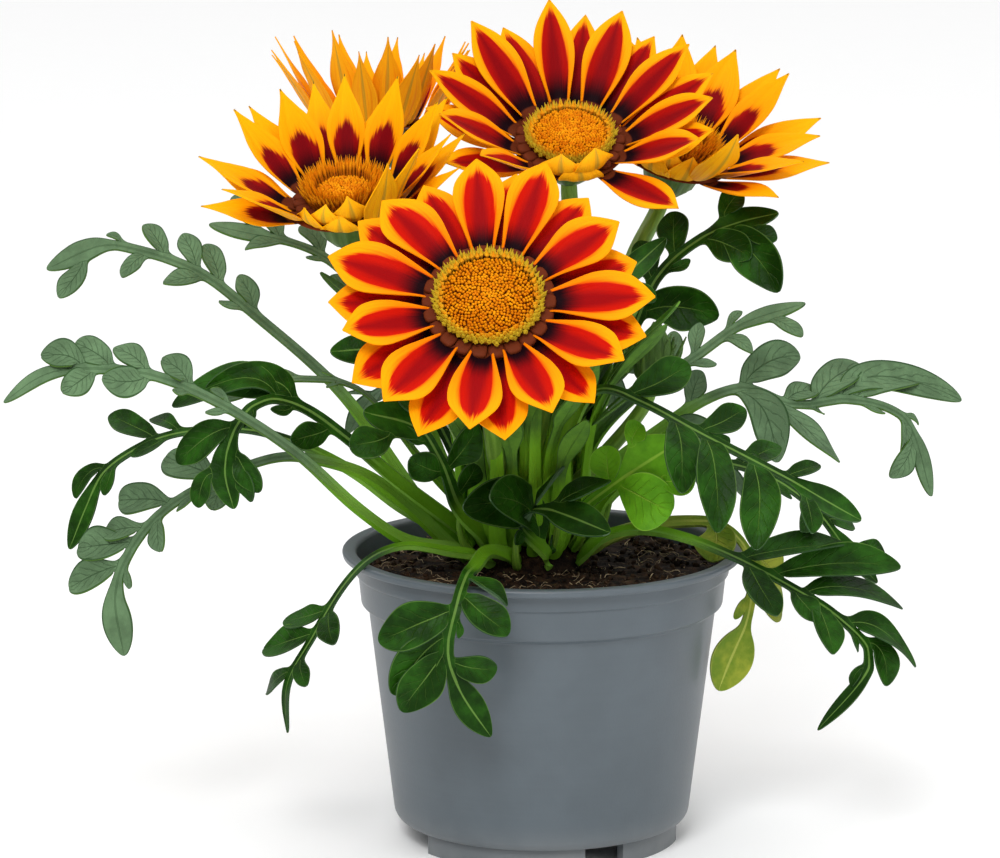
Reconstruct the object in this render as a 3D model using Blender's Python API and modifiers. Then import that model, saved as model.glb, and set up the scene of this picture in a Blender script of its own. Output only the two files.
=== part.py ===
"""A potted gazania: a plastic nursery pot of compost, a leafy rosette, five flowers and a bud.

Each leaf, stem, cup of bracts, disc and ring of petals is an object of its own. Sizes are in metres,
+Z is up, and the origin lies on the shelf under the middle of the plant's spread.
"""
import math

import bmesh
import bpy
from mathutils import Vector
from mathutils.geometry import interpolate_bezier

OBJECT_NAME = "potted_gazania"
MM = 0.001
GAP = 0.3 * MM

# The shelf point under the middle of the spread, seen from the pot's axis
SPREAD_MIDDLE = Vector((-10.6, 4.2, 0.0)) * MM

# The pot
POT_HEIGHT = 88.5 * MM
POT_FOOT_HEIGHT = 6.5 * MM
POT_RIM_RADIUS = 60.0 * MM
POT_MOUTH_RADIUS = 56.3 * MM
POT_LIP_HEIGHT = 2.3 * MM
POT_COLLAR_RADIUS = 55.2 * MM
POT_COLLAR_LOW = 71.8 * MM
POT_BODY_TOP_RADIUS = 52.2 * MM
POT_BODY_LOW_RADIUS = 44.4 * MM
POT_CORNER = 1.6 * MM
POT_WALL = 1.2 * MM
POT_FLOOR = 1.6 * MM
POT_FOOT_RADIUS = 41.5 * MM
POT_FOOT_WALL = 2.6 * MM
POT_TURNS = 48
POT_DRAIN_TURNS = 8
POT_LIP_ROUND = 0.7 * MM
# The collar flares towards the lip by this much, and starts to below it by this much
POT_FLARE = 0.9 * MM
POT_FLARE_DROP = 4.7 * MM
# The collar narrows by this much where it meets the body, and inside it steps out over this rise
POT_COLLAR_TAPER = 1.5 * MM
POT_COLLAR_BEVEL = 0.6 * MM
POT_COLLAR_RISE = 2.2 * MM
POT_FOOT_TAPER = 0.8 * MM
POT_INNER_CORNER = 1.5 * MM
POT_MIDDLE_HOLE = 5.0 * MM
POT_DRAIN_RADIUS = 4.0 * MM
POT_DRAIN_RING = 27.0 * MM
POT_DRAINS = 6
POT_DRAIN_START = 33.1
POT_DRAIN_DEPTH = 10.0 * MM
# The cutters that part the feet reach this far inside and outside the foot ring
POT_GAP_INWARD = 6.0 * MM
POT_GAP_OUTWARD = 4.0 * MM
POT_GAP_STEPS = 4
# Two pairs of long and short feet: where each starts and ends, in degrees clockwise from the front
POT_FEET = ((-56.0, 17.5), (36.0, 78.0), (124.0, 197.5), (216.0, 258.0))

# The compost and the stock that every leaf and stem springs from
SOIL_TOP = 84.5 * MM
SOIL_TURNS = 48
SOIL_CLEARANCE = 0.5 * MM
CROWN_MIDDLE = Vector((-5.0, 0.0, 68.5)) * MM
CROWN_RADIUS = 26.0 * MM
CROWN_TURNS = 32
CROWN_RINGS = 6
# Each stalk starts this far off the crown
CROWN_LIFT = 0.4 * MM

# The leaves
LEAF_THICKNESS = 0.6 * MM
PETIOLE_HALF_WIDTH = 1.7 * MM
RACHIS_HALF_WIDTH = 1.2 * MM
LOBE_PITCH = 2.6 * MM
LOBE_STAGGER = 1.2 * MM
LOBE_DEPTH_REACH = 14.0 * MM
LOBE_HALF_WIDTH_LEAST = 1.4 * MM
LOBE_HALF_WIDTH_MOST = 4.2 * MM
# How wide a lobe is at shares of its length, before its point
LOBE_OUTLINE = ((0.35, 0.9), (0.72, 0.85))
# A lobe leaves the midrib this much sideways and this much forwards, and arches this much
LOBE_OUTWARD = 0.75
LOBE_FORWARD = 0.66
LOBE_ARCH = 0.1
# The end lobe's extra half width, and how steeply a view ray may graze a blade
TERMINAL_HALF_WIDTH = 3.2 * MM
GRAZING = 0.15
PETIOLE_STEP = 13.0 * MM
TERMINAL_LENGTH = 21.0 * MM
PETIOLE_SHARE = 0.3

# The flowers
STEM_RADIUS = 2.3 * MM
TUBE_STEP = 17.0 * MM
TUBE_END = 2.0 * MM
DISC_RADIUS = 14.3 * MM
DISC_HEIGHT = 4.2 * MM
DISC_TURNS = 20
CLOSED_DISC_SHARE = 0.8
OPEN_FLOWER_LIFT = 30.0
CUP_RADIUS = 10.5 * MM
CUP_HEIGHT = 13.0 * MM
CUP_TURNS = 16
# A cup's radius at depths below its top, before it meets the stem
CUP_OUTLINE = ((1.0, 0.0), (0.98, 4.0 * MM), (0.8, 9.0 * MM))
# The angles from a disc's axis at which its dome has rings
DISC_RINGS = (26.0, 52.0, 78.0)
PETAL_COUNT = 20
PETAL_THICKNESS = 0.5 * MM
PETAL_BASE_RADIUS = 15.2 * MM
PETAL_RING_INNER = 8.0 * MM
PETAL_LAYER_SPLIT = math.radians(5.0)
# A petal's half width at shares of its length
PETAL_OUTLINE = ((0.3, 4.3 * MM), (0.74, 5.0 * MM), (1.0, 0.8 * MM))

# The front view that places are read from: a column and a row in its frame of 1000 by 858, and a
# depth in millimetres behind the pot's axis
VIEW_POINT = Vector((-12.6, -1200.0, 351.0)) * MM
VIEW_PITCH = math.radians(10.69)
VIEW_FOCAL = 4090.0
VIEW_CENTRE = (500.0, 429.0)


def view_ray(column, row):
    """The direction from the view point through a place in the picture, one unit long in depth."""
    across = (column - VIEW_CENTRE[0]) / VIEW_FOCAL
    rise = (VIEW_CENTRE[1] - row) / VIEW_FOCAL
    forward = math.cos(VIEW_PITCH) + rise * math.sin(VIEW_PITCH)
    upward = rise * math.cos(VIEW_PITCH) - math.sin(VIEW_PITCH)
    return Vector((across / forward, 1.0, upward / forward))


def place(column, row, depth):
    """The point at that depth which shows at that place in the picture."""
    return VIEW_POINT + view_ray(column, row) * (depth * MM - VIEW_POINT.y)


def picture(point):
    """Where a point shows in the picture."""
    away = point - VIEW_POINT
    depth = away.y * math.cos(VIEW_PITCH) - away.z * math.sin(VIEW_PITCH)
    height = away.y * math.sin(VIEW_PITCH) + away.z * math.cos(VIEW_PITCH)
    return Vector((VIEW_CENTRE[0] + VIEW_FOCAL * away.x / depth, VIEW_CENTRE[1] - VIEW_FOCAL * height / depth))


# Each leaf: where it springs from the crown, as a compass angle from +X and a slope from upright;
# which way its upper side faces; the places its midrib passes, ending at its tip; and its lobes' tips
LEAVES = {
    "leaf_left_high": dict(
        seat=(168, 34), face=(0.1, -0.5, 0.85),
        route=((428, 508, 2), (345, 395, 12), (262, 320, 18), (200, 272, 22), (140, 250, 24),
               (100, 245, 24), (44, 270, 22)),
        lobes=((58, 297), (145, 222), (182, 232), (122, 277), (163, 282), (205, 243), (238, 275)),
    ),
    "leaf_left_long": dict(
        seat=(212, 46), face=(0.1, -0.55, 0.83),
        route=((412, 541, -16), (360, 508, -32), (290, 447, -46), (205, 395, -58), (140, 372, -64),
               (50, 372, -70), (0, 405, -72)),
        lobes=((41, 357), (76, 340), (62, 392), (102, 378), (163, 358), (115, 345)),
    ),
    "leaf_left_arch": dict(
        seat=(178, 26), face=(0.2, -0.3, 0.9),
        route=((432, 470, 4), (360, 388, -4), (300, 378, -12), (250, 384, -18), (195, 398, -22)),
        lobes=((225, 372), (215, 400)),
    ),
    "leaf_left_dark": dict(
        plump=1.3, seat=(196, 36), face=(-0.3, -0.75, 0.5),
        route=((395, 478, -16), (350, 440, -24), (300, 405, -34), (262, 400, -42), (236, 426, -48),
               (224, 470, -52), (235, 512, -54)),
        lobes=((173, 405), (176, 462), (197, 508), (248, 502), (260, 493), (290, 440), (205, 390)),
    ),
    "leaf_left_far": dict(
        seat=(160, 46), face=(0.0, -0.5, 0.85),
        route=((402, 505, 12), (360, 474, 18), (300, 443, 24), (240, 428, 28), (160, 437, 30),
               (105, 470, 30), (86, 505, 28), (68, 552, 26)),
        lobes=((108, 414), (73, 497), (103, 495), (130, 455), (150, 415)),
    ),
    "leaf_left_low": dict(
        seat=(192, 46), face=(-0.15, -0.6, 0.75),
        route=((405, 500, -8), (360, 470, -12), (290, 455, -16), (250, 464, -19), (180, 498, -22),
               (140, 535, -24), (115, 590, -26), (125, 660, -26)),
        lobes=((118, 500), (105, 535), (78, 548), (70, 588), (158, 550), (213, 510), (165, 455)),
    ),
    "leaf_rim_left": dict(
        seat=(236, 46), face=(-0.5, -0.35, 0.8),
        route=((455, 550, -18), (405, 543, -22), (372, 555, -26), (345, 582, -33), (328, 608, -37),
               (310, 640, -40), (286, 685, -42), (287, 735, -42)),
        lobes=((335, 645), (264, 692), (262, 648), (305, 685), (285, 620)),
    ),
    "leaf_rim_front": dict(
        plump=1.3, seat=(262, 46), face=(0.05, -0.85, 0.5),
        route=((490, 548, -26), (475, 565, -40), (467, 574, -54), (457, 604, -67), (448, 652, -68),
               (460, 690, -67), (492, 738, -64)),
        lobes=((378, 640), (508, 603), (509, 634), (393, 696), (402, 712), (497, 668)),
    ),
    "leaf_behind_left_flower": dict(
        seat=(140, 36), face=(0.1, -0.5, 0.85),
        route=((448, 470, 14), (405, 365, 26), (355, 283, 34), (310, 248, 38), (206, 223, 40)),
        lobes=((236, 196), (266, 211), (245, 248), (330, 276), (300, 225)),
    ),
    "leaf_behind_front_flower": dict(
        seat=(152, 24), face=(-0.4, -0.8, 0.4),
        route=((462, 470, 6), (425, 400, 4), (380, 352, 2), (326, 352, 0)),
        lobes=((356, 320), (360, 372)),
    ),
    "leaf_under_front_flower": dict(
        plump=1.6, seat=(236, 34), face=(-0.1, -0.75, 0.65),
        route=((462, 510, -18), (440, 458, -28), (415, 425, -34), (360, 411, -36)),
        lobes=((350, 445), (412, 462), (480, 428), (478, 466), (400, 398)),
    ),
    "leaf_front_young": dict(
        plump=1.3, seat=(288, 46), face=(0.1, -0.6, 0.8),
        route=((528, 530, -22), (536, 505, -30), (570, 505, -38), (607, 524, -42)),
        lobes=((520, 543), (496, 516), (500, 492), (566, 468), (603, 478), (545, 540)),
    ),
    "leaf_bright_young": dict(
        plump=1.2, seat=(326, 38), face=(0.3, -0.8, 0.5),
        route=((580, 512, -16), (612, 478, -22), (650, 462, -26), (698, 500, -30)),
        lobes=((618, 438), (690, 440), (650, 500)),
    ),
    "leaf_right_dark": dict(
        plump=1.3, seat=(304, 27), face=(0.1, -0.55, 0.8),
        route=((562, 450, -20), (594, 388, -24), (640, 400, -30), (700, 432, -36), (760, 463, -42),
               (825, 498, -48), (865, 522, -50)),
        lobes=((690, 362), (682, 492), (717, 533), (757, 547), (819, 465), (814, 530), (745, 410)),
    ),
    "leaf_right_long": dict(
        seat=(12, 36), face=(0.1, -0.55, 0.83),
        route=((600, 475, 8), (660, 428, 16), (702, 400, 22), (746, 387, 28), (795, 404, 34),
               (850, 399, 40), (905, 418, 46), (933, 500, 50)),
        lobes=((800, 357), (820, 388), (777, 463), (703, 372), (720, 438), (862, 362), (839, 463),
               (903, 452), (891, 478), (921, 378), (962, 400)),
    ),
    "leaf_right_high": dict(
        plump=1.3, seat=(52, 36), face=(0.2, -0.6, 0.75),
        route=((585, 440, 18), (628, 345, 28), (655, 280, 36), (690, 245, 40), (735, 222, 42),
               (781, 212, 42)),
        lobes=((742, 190), (777, 238), (673, 212), (718, 318), (778, 292), (750, 258), (640, 240)),
    ),
    "leaf_right_upright": dict(
        seat=(30, 28), face=(0.1, -0.55, 0.8),
        route=((592, 440, 6), (640, 392, 10), (694, 357, 14), (745, 322, 18), (808, 302, 20)),
        lobes=((802, 336), (700, 322), (672, 330), (752, 352)),
    ),
    "leaf_rim_right": dict(
        plump=1.3, seat=(320, 46), face=(0.3, -0.55, 0.8),
        route=((603, 533, -12), (640, 527, -16), (680, 534, -20), (722, 550, -24), (779, 579, -29),
               (842, 619, -34), (871, 660, -36), (816, 732, -36)),
        lobes=((846, 545), (901, 566), (903, 608), (915, 668), (886, 686), (778, 614), (818, 622),
               (835, 652)),
    ),
    "leaf_rim_yellow": dict(
        plump=1.6, seat=(352, 46), face=(0.6, -0.65, 0.45),
        route=((612, 535, -2), (660, 522, -2), (715, 522, -3), (742, 540, -4), (752, 575, -6),
               (748, 620, -10), (718, 694, -14)),
        lobes=((786, 612), (778, 580), (712, 560)),
    ),
    "leaf_right_low": dict(
        seat=(338, 38), face=(0.2, -0.55, 0.8),
        route=((600, 500, -8), (650, 462, -6), (704, 459, -8), (763, 473, -10), (810, 503, -10),
               (845, 545, -10), (880, 585, -10)),
        lobes=((857, 525), (888, 552), (800, 532), (730, 440), (780, 445)),
    ),
    "leaf_behind_bud": dict(
        seat=(76, 28), face=(0.3, -0.7, 0.6),
        route=((562, 440, 4), (590, 350, 6), (612, 292, 8), (668, 236, 12)),
        lobes=((656, 300), (592, 250), (640, 330)),
    ),
    "leaf_back_left": dict(
        seat=(124, 46), face=(-0.1, 0.4, 0.9),
        route=((466, 475, 26), (430, 410, 40), (398, 385, 58), (368, 398, 72), (345, 436, 78)),
        lobes=((345, 390), (388, 372), (372, 452), (402, 425)),
    ),
    "leaf_back_middle": dict(
        seat=(100, 38), face=(0.0, 0.5, 0.85),
        route=((500, 460, 28), (485, 385, 42), (476, 345, 58), (468, 350, 72), (462, 400, 80)),
        lobes=((440, 352), (510, 355), (436, 385), (500, 392)),
    ),
    "leaf_back_right": dict(
        seat=(66, 46), face=(0.1, 0.5, 0.85),
        route=((560, 462, 30), (585, 400, 44), (602, 368, 58), (612, 378, 70), (618, 420, 78)),
        lobes=((640, 372), (575, 368), (650, 402), (588, 410)),
    ),
    "leaf_back_low": dict(
        seat=(36, 46), face=(0.2, 0.3, 0.9),
        route=((600, 505, 22), (645, 470, 34), (690, 455, 46), (725, 465, 56), (748, 500, 62)),
        lobes=((715, 440), (752, 462), (700, 486), (672, 440)),
    ),
}

# Each flower: where its stem springs from the crown, the place of its disc's foot, which way it
# faces, how far its petals stand up from flat, how long they are, and where its stem passes
FLOWERS = {
    "front": dict(seat=(262, 15), foot=(489, 304, -60), faces=(-0.02, -0.74, 0.67), cupped=11.0,
                  reach=48.0, stem=((500, 470, -14), (490, 400, -26))),
    "top": dict(seat=(80, 15), foot=(566, 140, 23), faces=(0.04, -0.54, 0.84), cupped=34.0,
                reach=49.0, stem=((545, 420, 8), (572, 260, 24))),
    "left": dict(seat=(194, 15), foot=(342, 196, -9), faces=(-0.22, -0.32, 0.92), cupped=41.0,
                 reach=45.0, stem=((470, 450, -4), (396, 300, -8))),
    "back": dict(seat=(136, 15), foot=(374, 132, 64), faces=(-0.12, 0.18, 0.97), cupped=62.0,
                 reach=46.0, stem=((478, 430, 18), (412, 240, 50))),
    "right": dict(seat=(24, 15), foot=(678, 168, 66), faces=(0.42, 0.1, 0.9), cupped=50.0,
                  reach=49.0, stem=((582, 430, 11), (632, 262, 44))),
}

BUD = dict(seat=(340, 15), foot=(652, 388, -4), top=(657, 322, -4), stem=((580, 480, -4), (630, 425, -4)))
BUD_RADIUS = 7.0 * MM
BUD_TURNS = 14
# The bud's radius at shares of its height
BUD_OUTLINE = ((0.45, 0.93), (0.85, 0.66), (1.0, 0.36), (0.82, 0.12))

# Colour, roughness and metallic value of each material
FINISHES = {
    "pot_plastic": ((0.19, 0.22, 0.25), 0.42),
    "compost": ((0.030, 0.017, 0.010), 0.95),
    "crown_green": ((0.16, 0.24, 0.06), 0.6),
    "leaf_green": ((0.045, 0.13, 0.03), 0.4),
    "leaf_bright": ((0.16, 0.42, 0.02), 0.4),
    "leaf_yellowing": ((0.35, 0.38, 0.04), 0.45),
    "stem_green": ((0.18, 0.33, 0.07), 0.5),
    "petal_orange": ((0.95, 0.38, 0.01), 0.5),
    "disc_orange": ((0.75, 0.30, 0.02), 0.8),
}
LEAF_FINISH = {"leaf_bright_young": "leaf_bright", "leaf_rim_yellow": "leaf_yellowing"}


def clear_scene():
    for old in list(bpy.data.objects):
        bpy.data.objects.remove(old, do_unlink=True)


def new_collection(name):
    collection = bpy.data.collections.new(name)
    bpy.context.scene.collection.children.link(collection)
    return collection


def finish(name):
    """The named material, made once."""
    material = bpy.data.materials.get(name)
    if material is None:
        colour, roughness = FINISHES[name]
        material = bpy.data.materials.new(name)
        material.use_nodes = True
        shader = material.node_tree.nodes["Principled BSDF"]
        shader.inputs["Base Color"].default_value = (*colour, 1.0)
        shader.inputs["Roughness"].default_value = roughness
        shader.inputs["Metallic"].default_value = 0.0
        material.diffuse_color = (*colour, 1.0)
    return material


def add_mesh(name, bm, material, collection=None):
    mesh = bpy.data.meshes.new(name)
    bm.normal_update()
    bm.to_mesh(mesh)
    bm.free()
    item = bpy.data.objects.new(name, mesh)
    mesh.materials.append(finish(material))
    (collection or PARTS).objects.link(item)
    item.location = -SPREAD_MIDDLE
    return item


def profile_object(name, outline, material, turns, collection=None, closed=True):
    """A solid of revolution about the pot's axis from a list of (radius, height) points."""
    bm = bmesh.new()
    ring = [bm.verts.new((radius, 0.0, height)) for radius, height in outline]
    for first, second in zip(ring, ring[1:]):
        bm.edges.new((first, second))
    if closed:
        bm.edges.new((ring[-1], ring[0]))
    item = add_mesh(name, bm, material, collection)
    screw = item.modifiers.new("turned", "SCREW")
    screw.steps = turns
    screw.render_steps = turns
    screw.use_merge_vertices = True
    screw.merge_threshold = 0.00001
    screw.use_smooth_shade = True
    return item


def turned_bm(outline, turns):
    """A closed turned solid as bmesh about +Z: the outline runs from the axis to the axis."""
    bm = bmesh.new()
    chain = [bm.verts.new((radius, 0.0, height)) for radius, height in outline]
    edges = [bm.edges.new(pair) for pair in zip(chain, chain[1:])]
    bmesh.ops.spin(bm, geom=chain + edges, cent=(0, 0, 0), axis=(0, 0, 1), dvec=(0, 0, 0),
                   angle=2 * math.pi, steps=turns, use_duplicate=False)
    bmesh.ops.remove_doubles(bm, verts=bm.verts, dist=0.01 * MM)
    bmesh.ops.recalc_face_normals(bm, faces=bm.faces)
    return bm


def body_radius(height):
    """The pot's outer radius at a height on its tapering body."""
    share = (height - POT_FOOT_HEIGHT) / (POT_COLLAR_LOW - POT_FOOT_HEIGHT)
    return POT_BODY_LOW_RADIUS + (POT_BODY_TOP_RADIUS - POT_BODY_LOW_RADIUS) * share


def make_pot():
    """The pot: a thin turned shell with a rolled lip, a wider collar and feet, and drain holes."""
    low, floor = POT_FOOT_HEIGHT, POT_FOOT_HEIGHT + POT_FLOOR
    lip_low = POT_HEIGHT - POT_LIP_HEIGHT
    groove = lip_low - POT_FLARE_DROP
    foot_inner = POT_FOOT_RADIUS - POT_FOOT_WALL
    corner_top = floor + POT_INNER_CORNER
    outline = [
        (POT_MOUTH_RADIUS, POT_HEIGHT),
        (POT_RIM_RADIUS - POT_LIP_ROUND, POT_HEIGHT),
        (POT_RIM_RADIUS, POT_HEIGHT - POT_LIP_ROUND),
        (POT_RIM_RADIUS - GAP, lip_low),
        (POT_COLLAR_RADIUS + POT_FLARE + GAP, lip_low - GAP),
        (POT_COLLAR_RADIUS + POT_FLARE, groove),
        (POT_COLLAR_RADIUS, groove - POT_COLLAR_BEVEL),
        (POT_COLLAR_RADIUS - POT_FLARE, POT_COLLAR_LOW + POT_COLLAR_BEVEL),
        (POT_COLLAR_RADIUS - POT_COLLAR_TAPER, POT_COLLAR_LOW),
        (POT_BODY_TOP_RADIUS, POT_COLLAR_LOW - POT_COLLAR_BEVEL),
        (body_radius(low + POT_CORNER), low + POT_CORNER),
        (POT_BODY_LOW_RADIUS - POT_CORNER * 0.7, low),
    ]
    foot_ring = [
        (POT_FOOT_RADIUS, low),
        (POT_FOOT_RADIUS - POT_FOOT_TAPER, 0.0),
        (foot_inner, 0.0),
        (foot_inner - POT_FOOT_TAPER / 2, low),
        (POT_MIDDLE_HOLE, low),
    ]
    inside = [
        (POT_MIDDLE_HOLE, floor),
        (body_radius(floor) - POT_WALL - POT_WALL, floor),
        (body_radius(corner_top) - POT_WALL, corner_top),
        (POT_BODY_TOP_RADIUS - POT_WALL, POT_COLLAR_LOW),
        (POT_COLLAR_RADIUS - POT_FLARE - POT_WALL, POT_COLLAR_LOW + POT_COLLAR_RISE),
    ]
    pot = profile_object("pot", outline + foot_ring + inside, "pot_plastic", POT_TURNS)
    cut_feet(pot)
    for turn in range(POT_DRAINS):
        angle = math.radians(turn * 360.0 / POT_DRAINS + POT_DRAIN_START)
        cutter = add_round_cutter("drain_cutter", POT_DRAIN_RADIUS, angle)
        subtract(pot, cutter)
    return pot


def add_round_cutter(name, radius, angle):
    bm = bmesh.new()
    bmesh.ops.create_cone(bm, cap_ends=True, segments=POT_DRAIN_TURNS,
                          radius1=radius, radius2=radius, depth=POT_DRAIN_DEPTH)
    centre = Vector((math.cos(angle), math.sin(angle), 0)) * POT_DRAIN_RING
    bmesh.ops.translate(bm, verts=bm.verts, vec=centre + Vector((0, 0, POT_FOOT_HEIGHT)))
    return add_cutter(name, bm)


def add_cutter(name, bm):
    cutter = add_mesh(name, bm, "pot_plastic", CUTTERS)
    cutter.hide_render = True
    cutter.display_type = "WIRE"
    return cutter


def subtract(target, cutter):
    cut = target.modifiers.new("cut", "BOOLEAN")
    cut.operation = "DIFFERENCE"
    cut.object = cutter


def cut_feet(pot):
    """Gaps between the feet: wedges of air under the body, cut out of the foot ring."""
    spans = list(POT_FEET)
    for (_, end), (start, _) in zip(spans, spans[1:] + [(spans[0][0] + 360.0, 0)]):
        bm = bmesh.new()
        inner, outer = POT_FOOT_RADIUS - POT_GAP_INWARD, POT_FOOT_RADIUS + POT_GAP_OUTWARD
        rings = []
        for height in (-1.0 * MM, POT_FOOT_HEIGHT + GAP):
            loop = []
            for radius, order in ((inner, range(POT_GAP_STEPS + 1)), (outer, range(POT_GAP_STEPS, -1, -1))):
                for step in order:
                    turn = math.radians(-90.0 + end + (start - end) * step / POT_GAP_STEPS)
                    loop.append(bm.verts.new((radius * math.cos(turn), radius * math.sin(turn), height)))
            rings.append(loop)
        bm.faces.new(rings[0])
        bm.faces.new(rings[1])
        count = len(rings[0])
        for index in range(count):
            after = (index + 1) % count
            bm.faces.new((rings[0][index], rings[0][after], rings[1][after], rings[1][index]))
        bmesh.ops.recalc_face_normals(bm, faces=bm.faces)
        subtract(pot, add_cutter("foot_gap_cutter", bm))


def make_soil():
    """The compost: it fills the pot and keeps a hair's gap to its walls."""
    floor = POT_FOOT_HEIGHT + POT_FLOOR
    reach = POT_WALL + SOIL_CLEARANCE
    top_radius = POT_COLLAR_RADIUS - POT_FLARE - GAP - reach
    corner_top = floor + 2 * POT_INNER_CORNER
    outline = [
        (0.0, SOIL_TOP),
        (top_radius, SOIL_TOP),
        (top_radius, POT_COLLAR_LOW + 2 * POT_INNER_CORNER),
        (POT_BODY_TOP_RADIUS - reach, POT_COLLAR_LOW - 2 * SOIL_CLEARANCE),
        (body_radius(corner_top) - reach, corner_top),
        (body_radius(floor) - reach - 4 * SOIL_CLEARANCE, floor + GAP),
        (0.0, floor + GAP),
    ]
    return add_mesh("compost", turned_bm(outline, SOIL_TURNS), "compost")


def make_crown():
    """The short stock on the compost: a cap cut from a sphere."""
    flat = SOIL_TOP + GAP - CROWN_MIDDLE.z
    lowest = math.acos(flat / CROWN_RADIUS)
    outline = []
    for step in range(CROWN_RINGS + 1):
        angle = lowest * step / CROWN_RINGS
        outline.append((CROWN_RADIUS * math.sin(angle), CROWN_RADIUS * math.cos(angle)))
    bm = turned_bm(outline + [(0.0, flat)], CROWN_TURNS)
    bmesh.ops.translate(bm, verts=bm.verts, vec=CROWN_MIDDLE)
    return add_mesh("crown", bm, "crown_green")


def crown_seat(compass, slope):
    """A point just off the crown, and the crown's outward direction there."""
    compass, slope = math.radians(compass), math.radians(slope)
    level = math.sin(slope)
    outward = Vector((level * math.cos(compass), level * math.sin(compass), math.cos(slope)))
    return CROWN_MIDDLE + outward * (CROWN_RADIUS + CROWN_LIFT), outward


def smooth_route(points, first_direction, last_direction=None):
    """A smooth path through the given points, leaving and arriving in the given directions."""
    count = len(points)
    slopes = []
    for index in range(count):
        if index == 0:
            slopes.append(first_direction * (points[1] - points[0]).length)
        elif index == count - 1:
            last = points[index] - points[index - 1]
            slopes.append(last_direction * last.length if last_direction else last * 0.8)
        else:
            before, after = points[index] - points[index - 1], points[index + 1] - points[index]
            lead = (before.normalized() + after.normalized()).normalized()
            slopes.append(lead * min(before.length, after.length) * 1.1)
    dense = []
    for index in range(count - 1):
        start, end = points[index], points[index + 1]
        bend = interpolate_bezier(start, start + slopes[index] / 3, end - slopes[index + 1] / 3, end, 24)
        dense += [Vector(point) for point in bend[:-1]]
    dense.append(points[-1])
    return Path(dense)


class Path:
    """A smooth line, read by the distance along it."""

    def __init__(self, dense):
        self.dense = dense
        self.marks = [0.0]
        for first, second in zip(dense, dense[1:]):
            self.marks.append(self.marks[-1] + (second - first).length)
        self.length = self.marks[-1]

    def at(self, distance):
        distance = min(max(distance, 0.0), self.length)
        for index in range(1, len(self.marks)):
            if self.marks[index] >= distance:
                share = (distance - self.marks[index - 1]) / (self.marks[index] - self.marks[index - 1])
                return self.dense[index - 1].lerp(self.dense[index], share)
        return self.dense[-1]

    def heading(self, distance):
        reach = 1.5 * MM
        return (self.at(distance + reach) - self.at(distance - reach)).normalized()

    def nearest_in_picture(self, spot):
        """The distance along the line's lobed part at which it shows nearest to a place in the picture."""
        lobed = [index for index, mark in enumerate(self.marks) if mark > PETIOLE_SHARE * self.length]
        best = min(lobed, key=lambda index: (picture(self.dense[index]) - spot).length)
        return self.marks[best]


def leaf_axes(path, distance, face):
    """The way along the midrib, across the blade and off its upper side."""
    along = path.heading(distance)
    off = (face - along * face.dot(along)).normalized()
    return along, off.cross(along), off


def lobe_tip(spot, origin, off):
    """The point on the blade's plane which shows at a place in the picture."""
    ray = view_ray(*spot)
    across = ray.dot(off)
    middle = origin.y - VIEW_POINT.y
    reach = (origin - VIEW_POINT).dot(off) / across if abs(across) > GRAZING else middle
    depth = min(max(reach, middle - LOBE_DEPTH_REACH), middle + LOBE_DEPTH_REACH)
    return VIEW_POINT + ray * depth


def leaf_width(distance, path):
    """Half the width of the blade's middle strip: a petiole, then a narrow wing, then the end lobe."""
    left = path.length - distance
    if left < TERMINAL_LENGTH:
        share = 1.0 - left / TERMINAL_LENGTH
        return RACHIS_HALF_WIDTH + TERMINAL_HALF_WIDTH * math.sin(math.pi * share ** 0.8) * (1.0 - 0.35 * share)
    share = min(1.0, distance / (0.4 * path.length))
    return PETIOLE_HALF_WIDTH + (RACHIS_HALF_WIDTH - PETIOLE_HALF_WIDTH) * share


def lobe_plan(path, face, tips):
    """For each lobe: the step of the strip it springs from, its side and its tip."""
    plan = []
    taken = set()
    first = int(PETIOLE_SHARE * path.length / LOBE_PITCH)
    last = int((path.length - TERMINAL_LENGTH * 0.5) / LOBE_PITCH)
    for spot in tips:
        foot = path.nearest_in_picture(Vector(spot))
        along, across, off = leaf_axes(path, foot, face)
        tip = lobe_tip(spot, path.at(foot), off)
        reach = (tip - path.at(foot)).length
        root = min(foot - 0.6 * reach, last * LOBE_PITCH)
        side = 1 if (tip - path.at(foot)).dot(across) > 0 else -1
        step = max(first, round(root / LOBE_PITCH))
        while (step, side) in taken or (step + 1, side) in taken or (step - 1, side) in taken:
            step -= 1
        taken.add((step, side))
        plan.append((step, side, tip))
    return sorted(plan, key=lambda entry: entry[0])


def leaf_path(row):
    start, outward = crown_seat(*row["seat"])
    points = [start, start + outward * 6 * MM] + [place(*spot) for spot in row["route"]]
    return smooth_route(points, outward)


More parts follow.
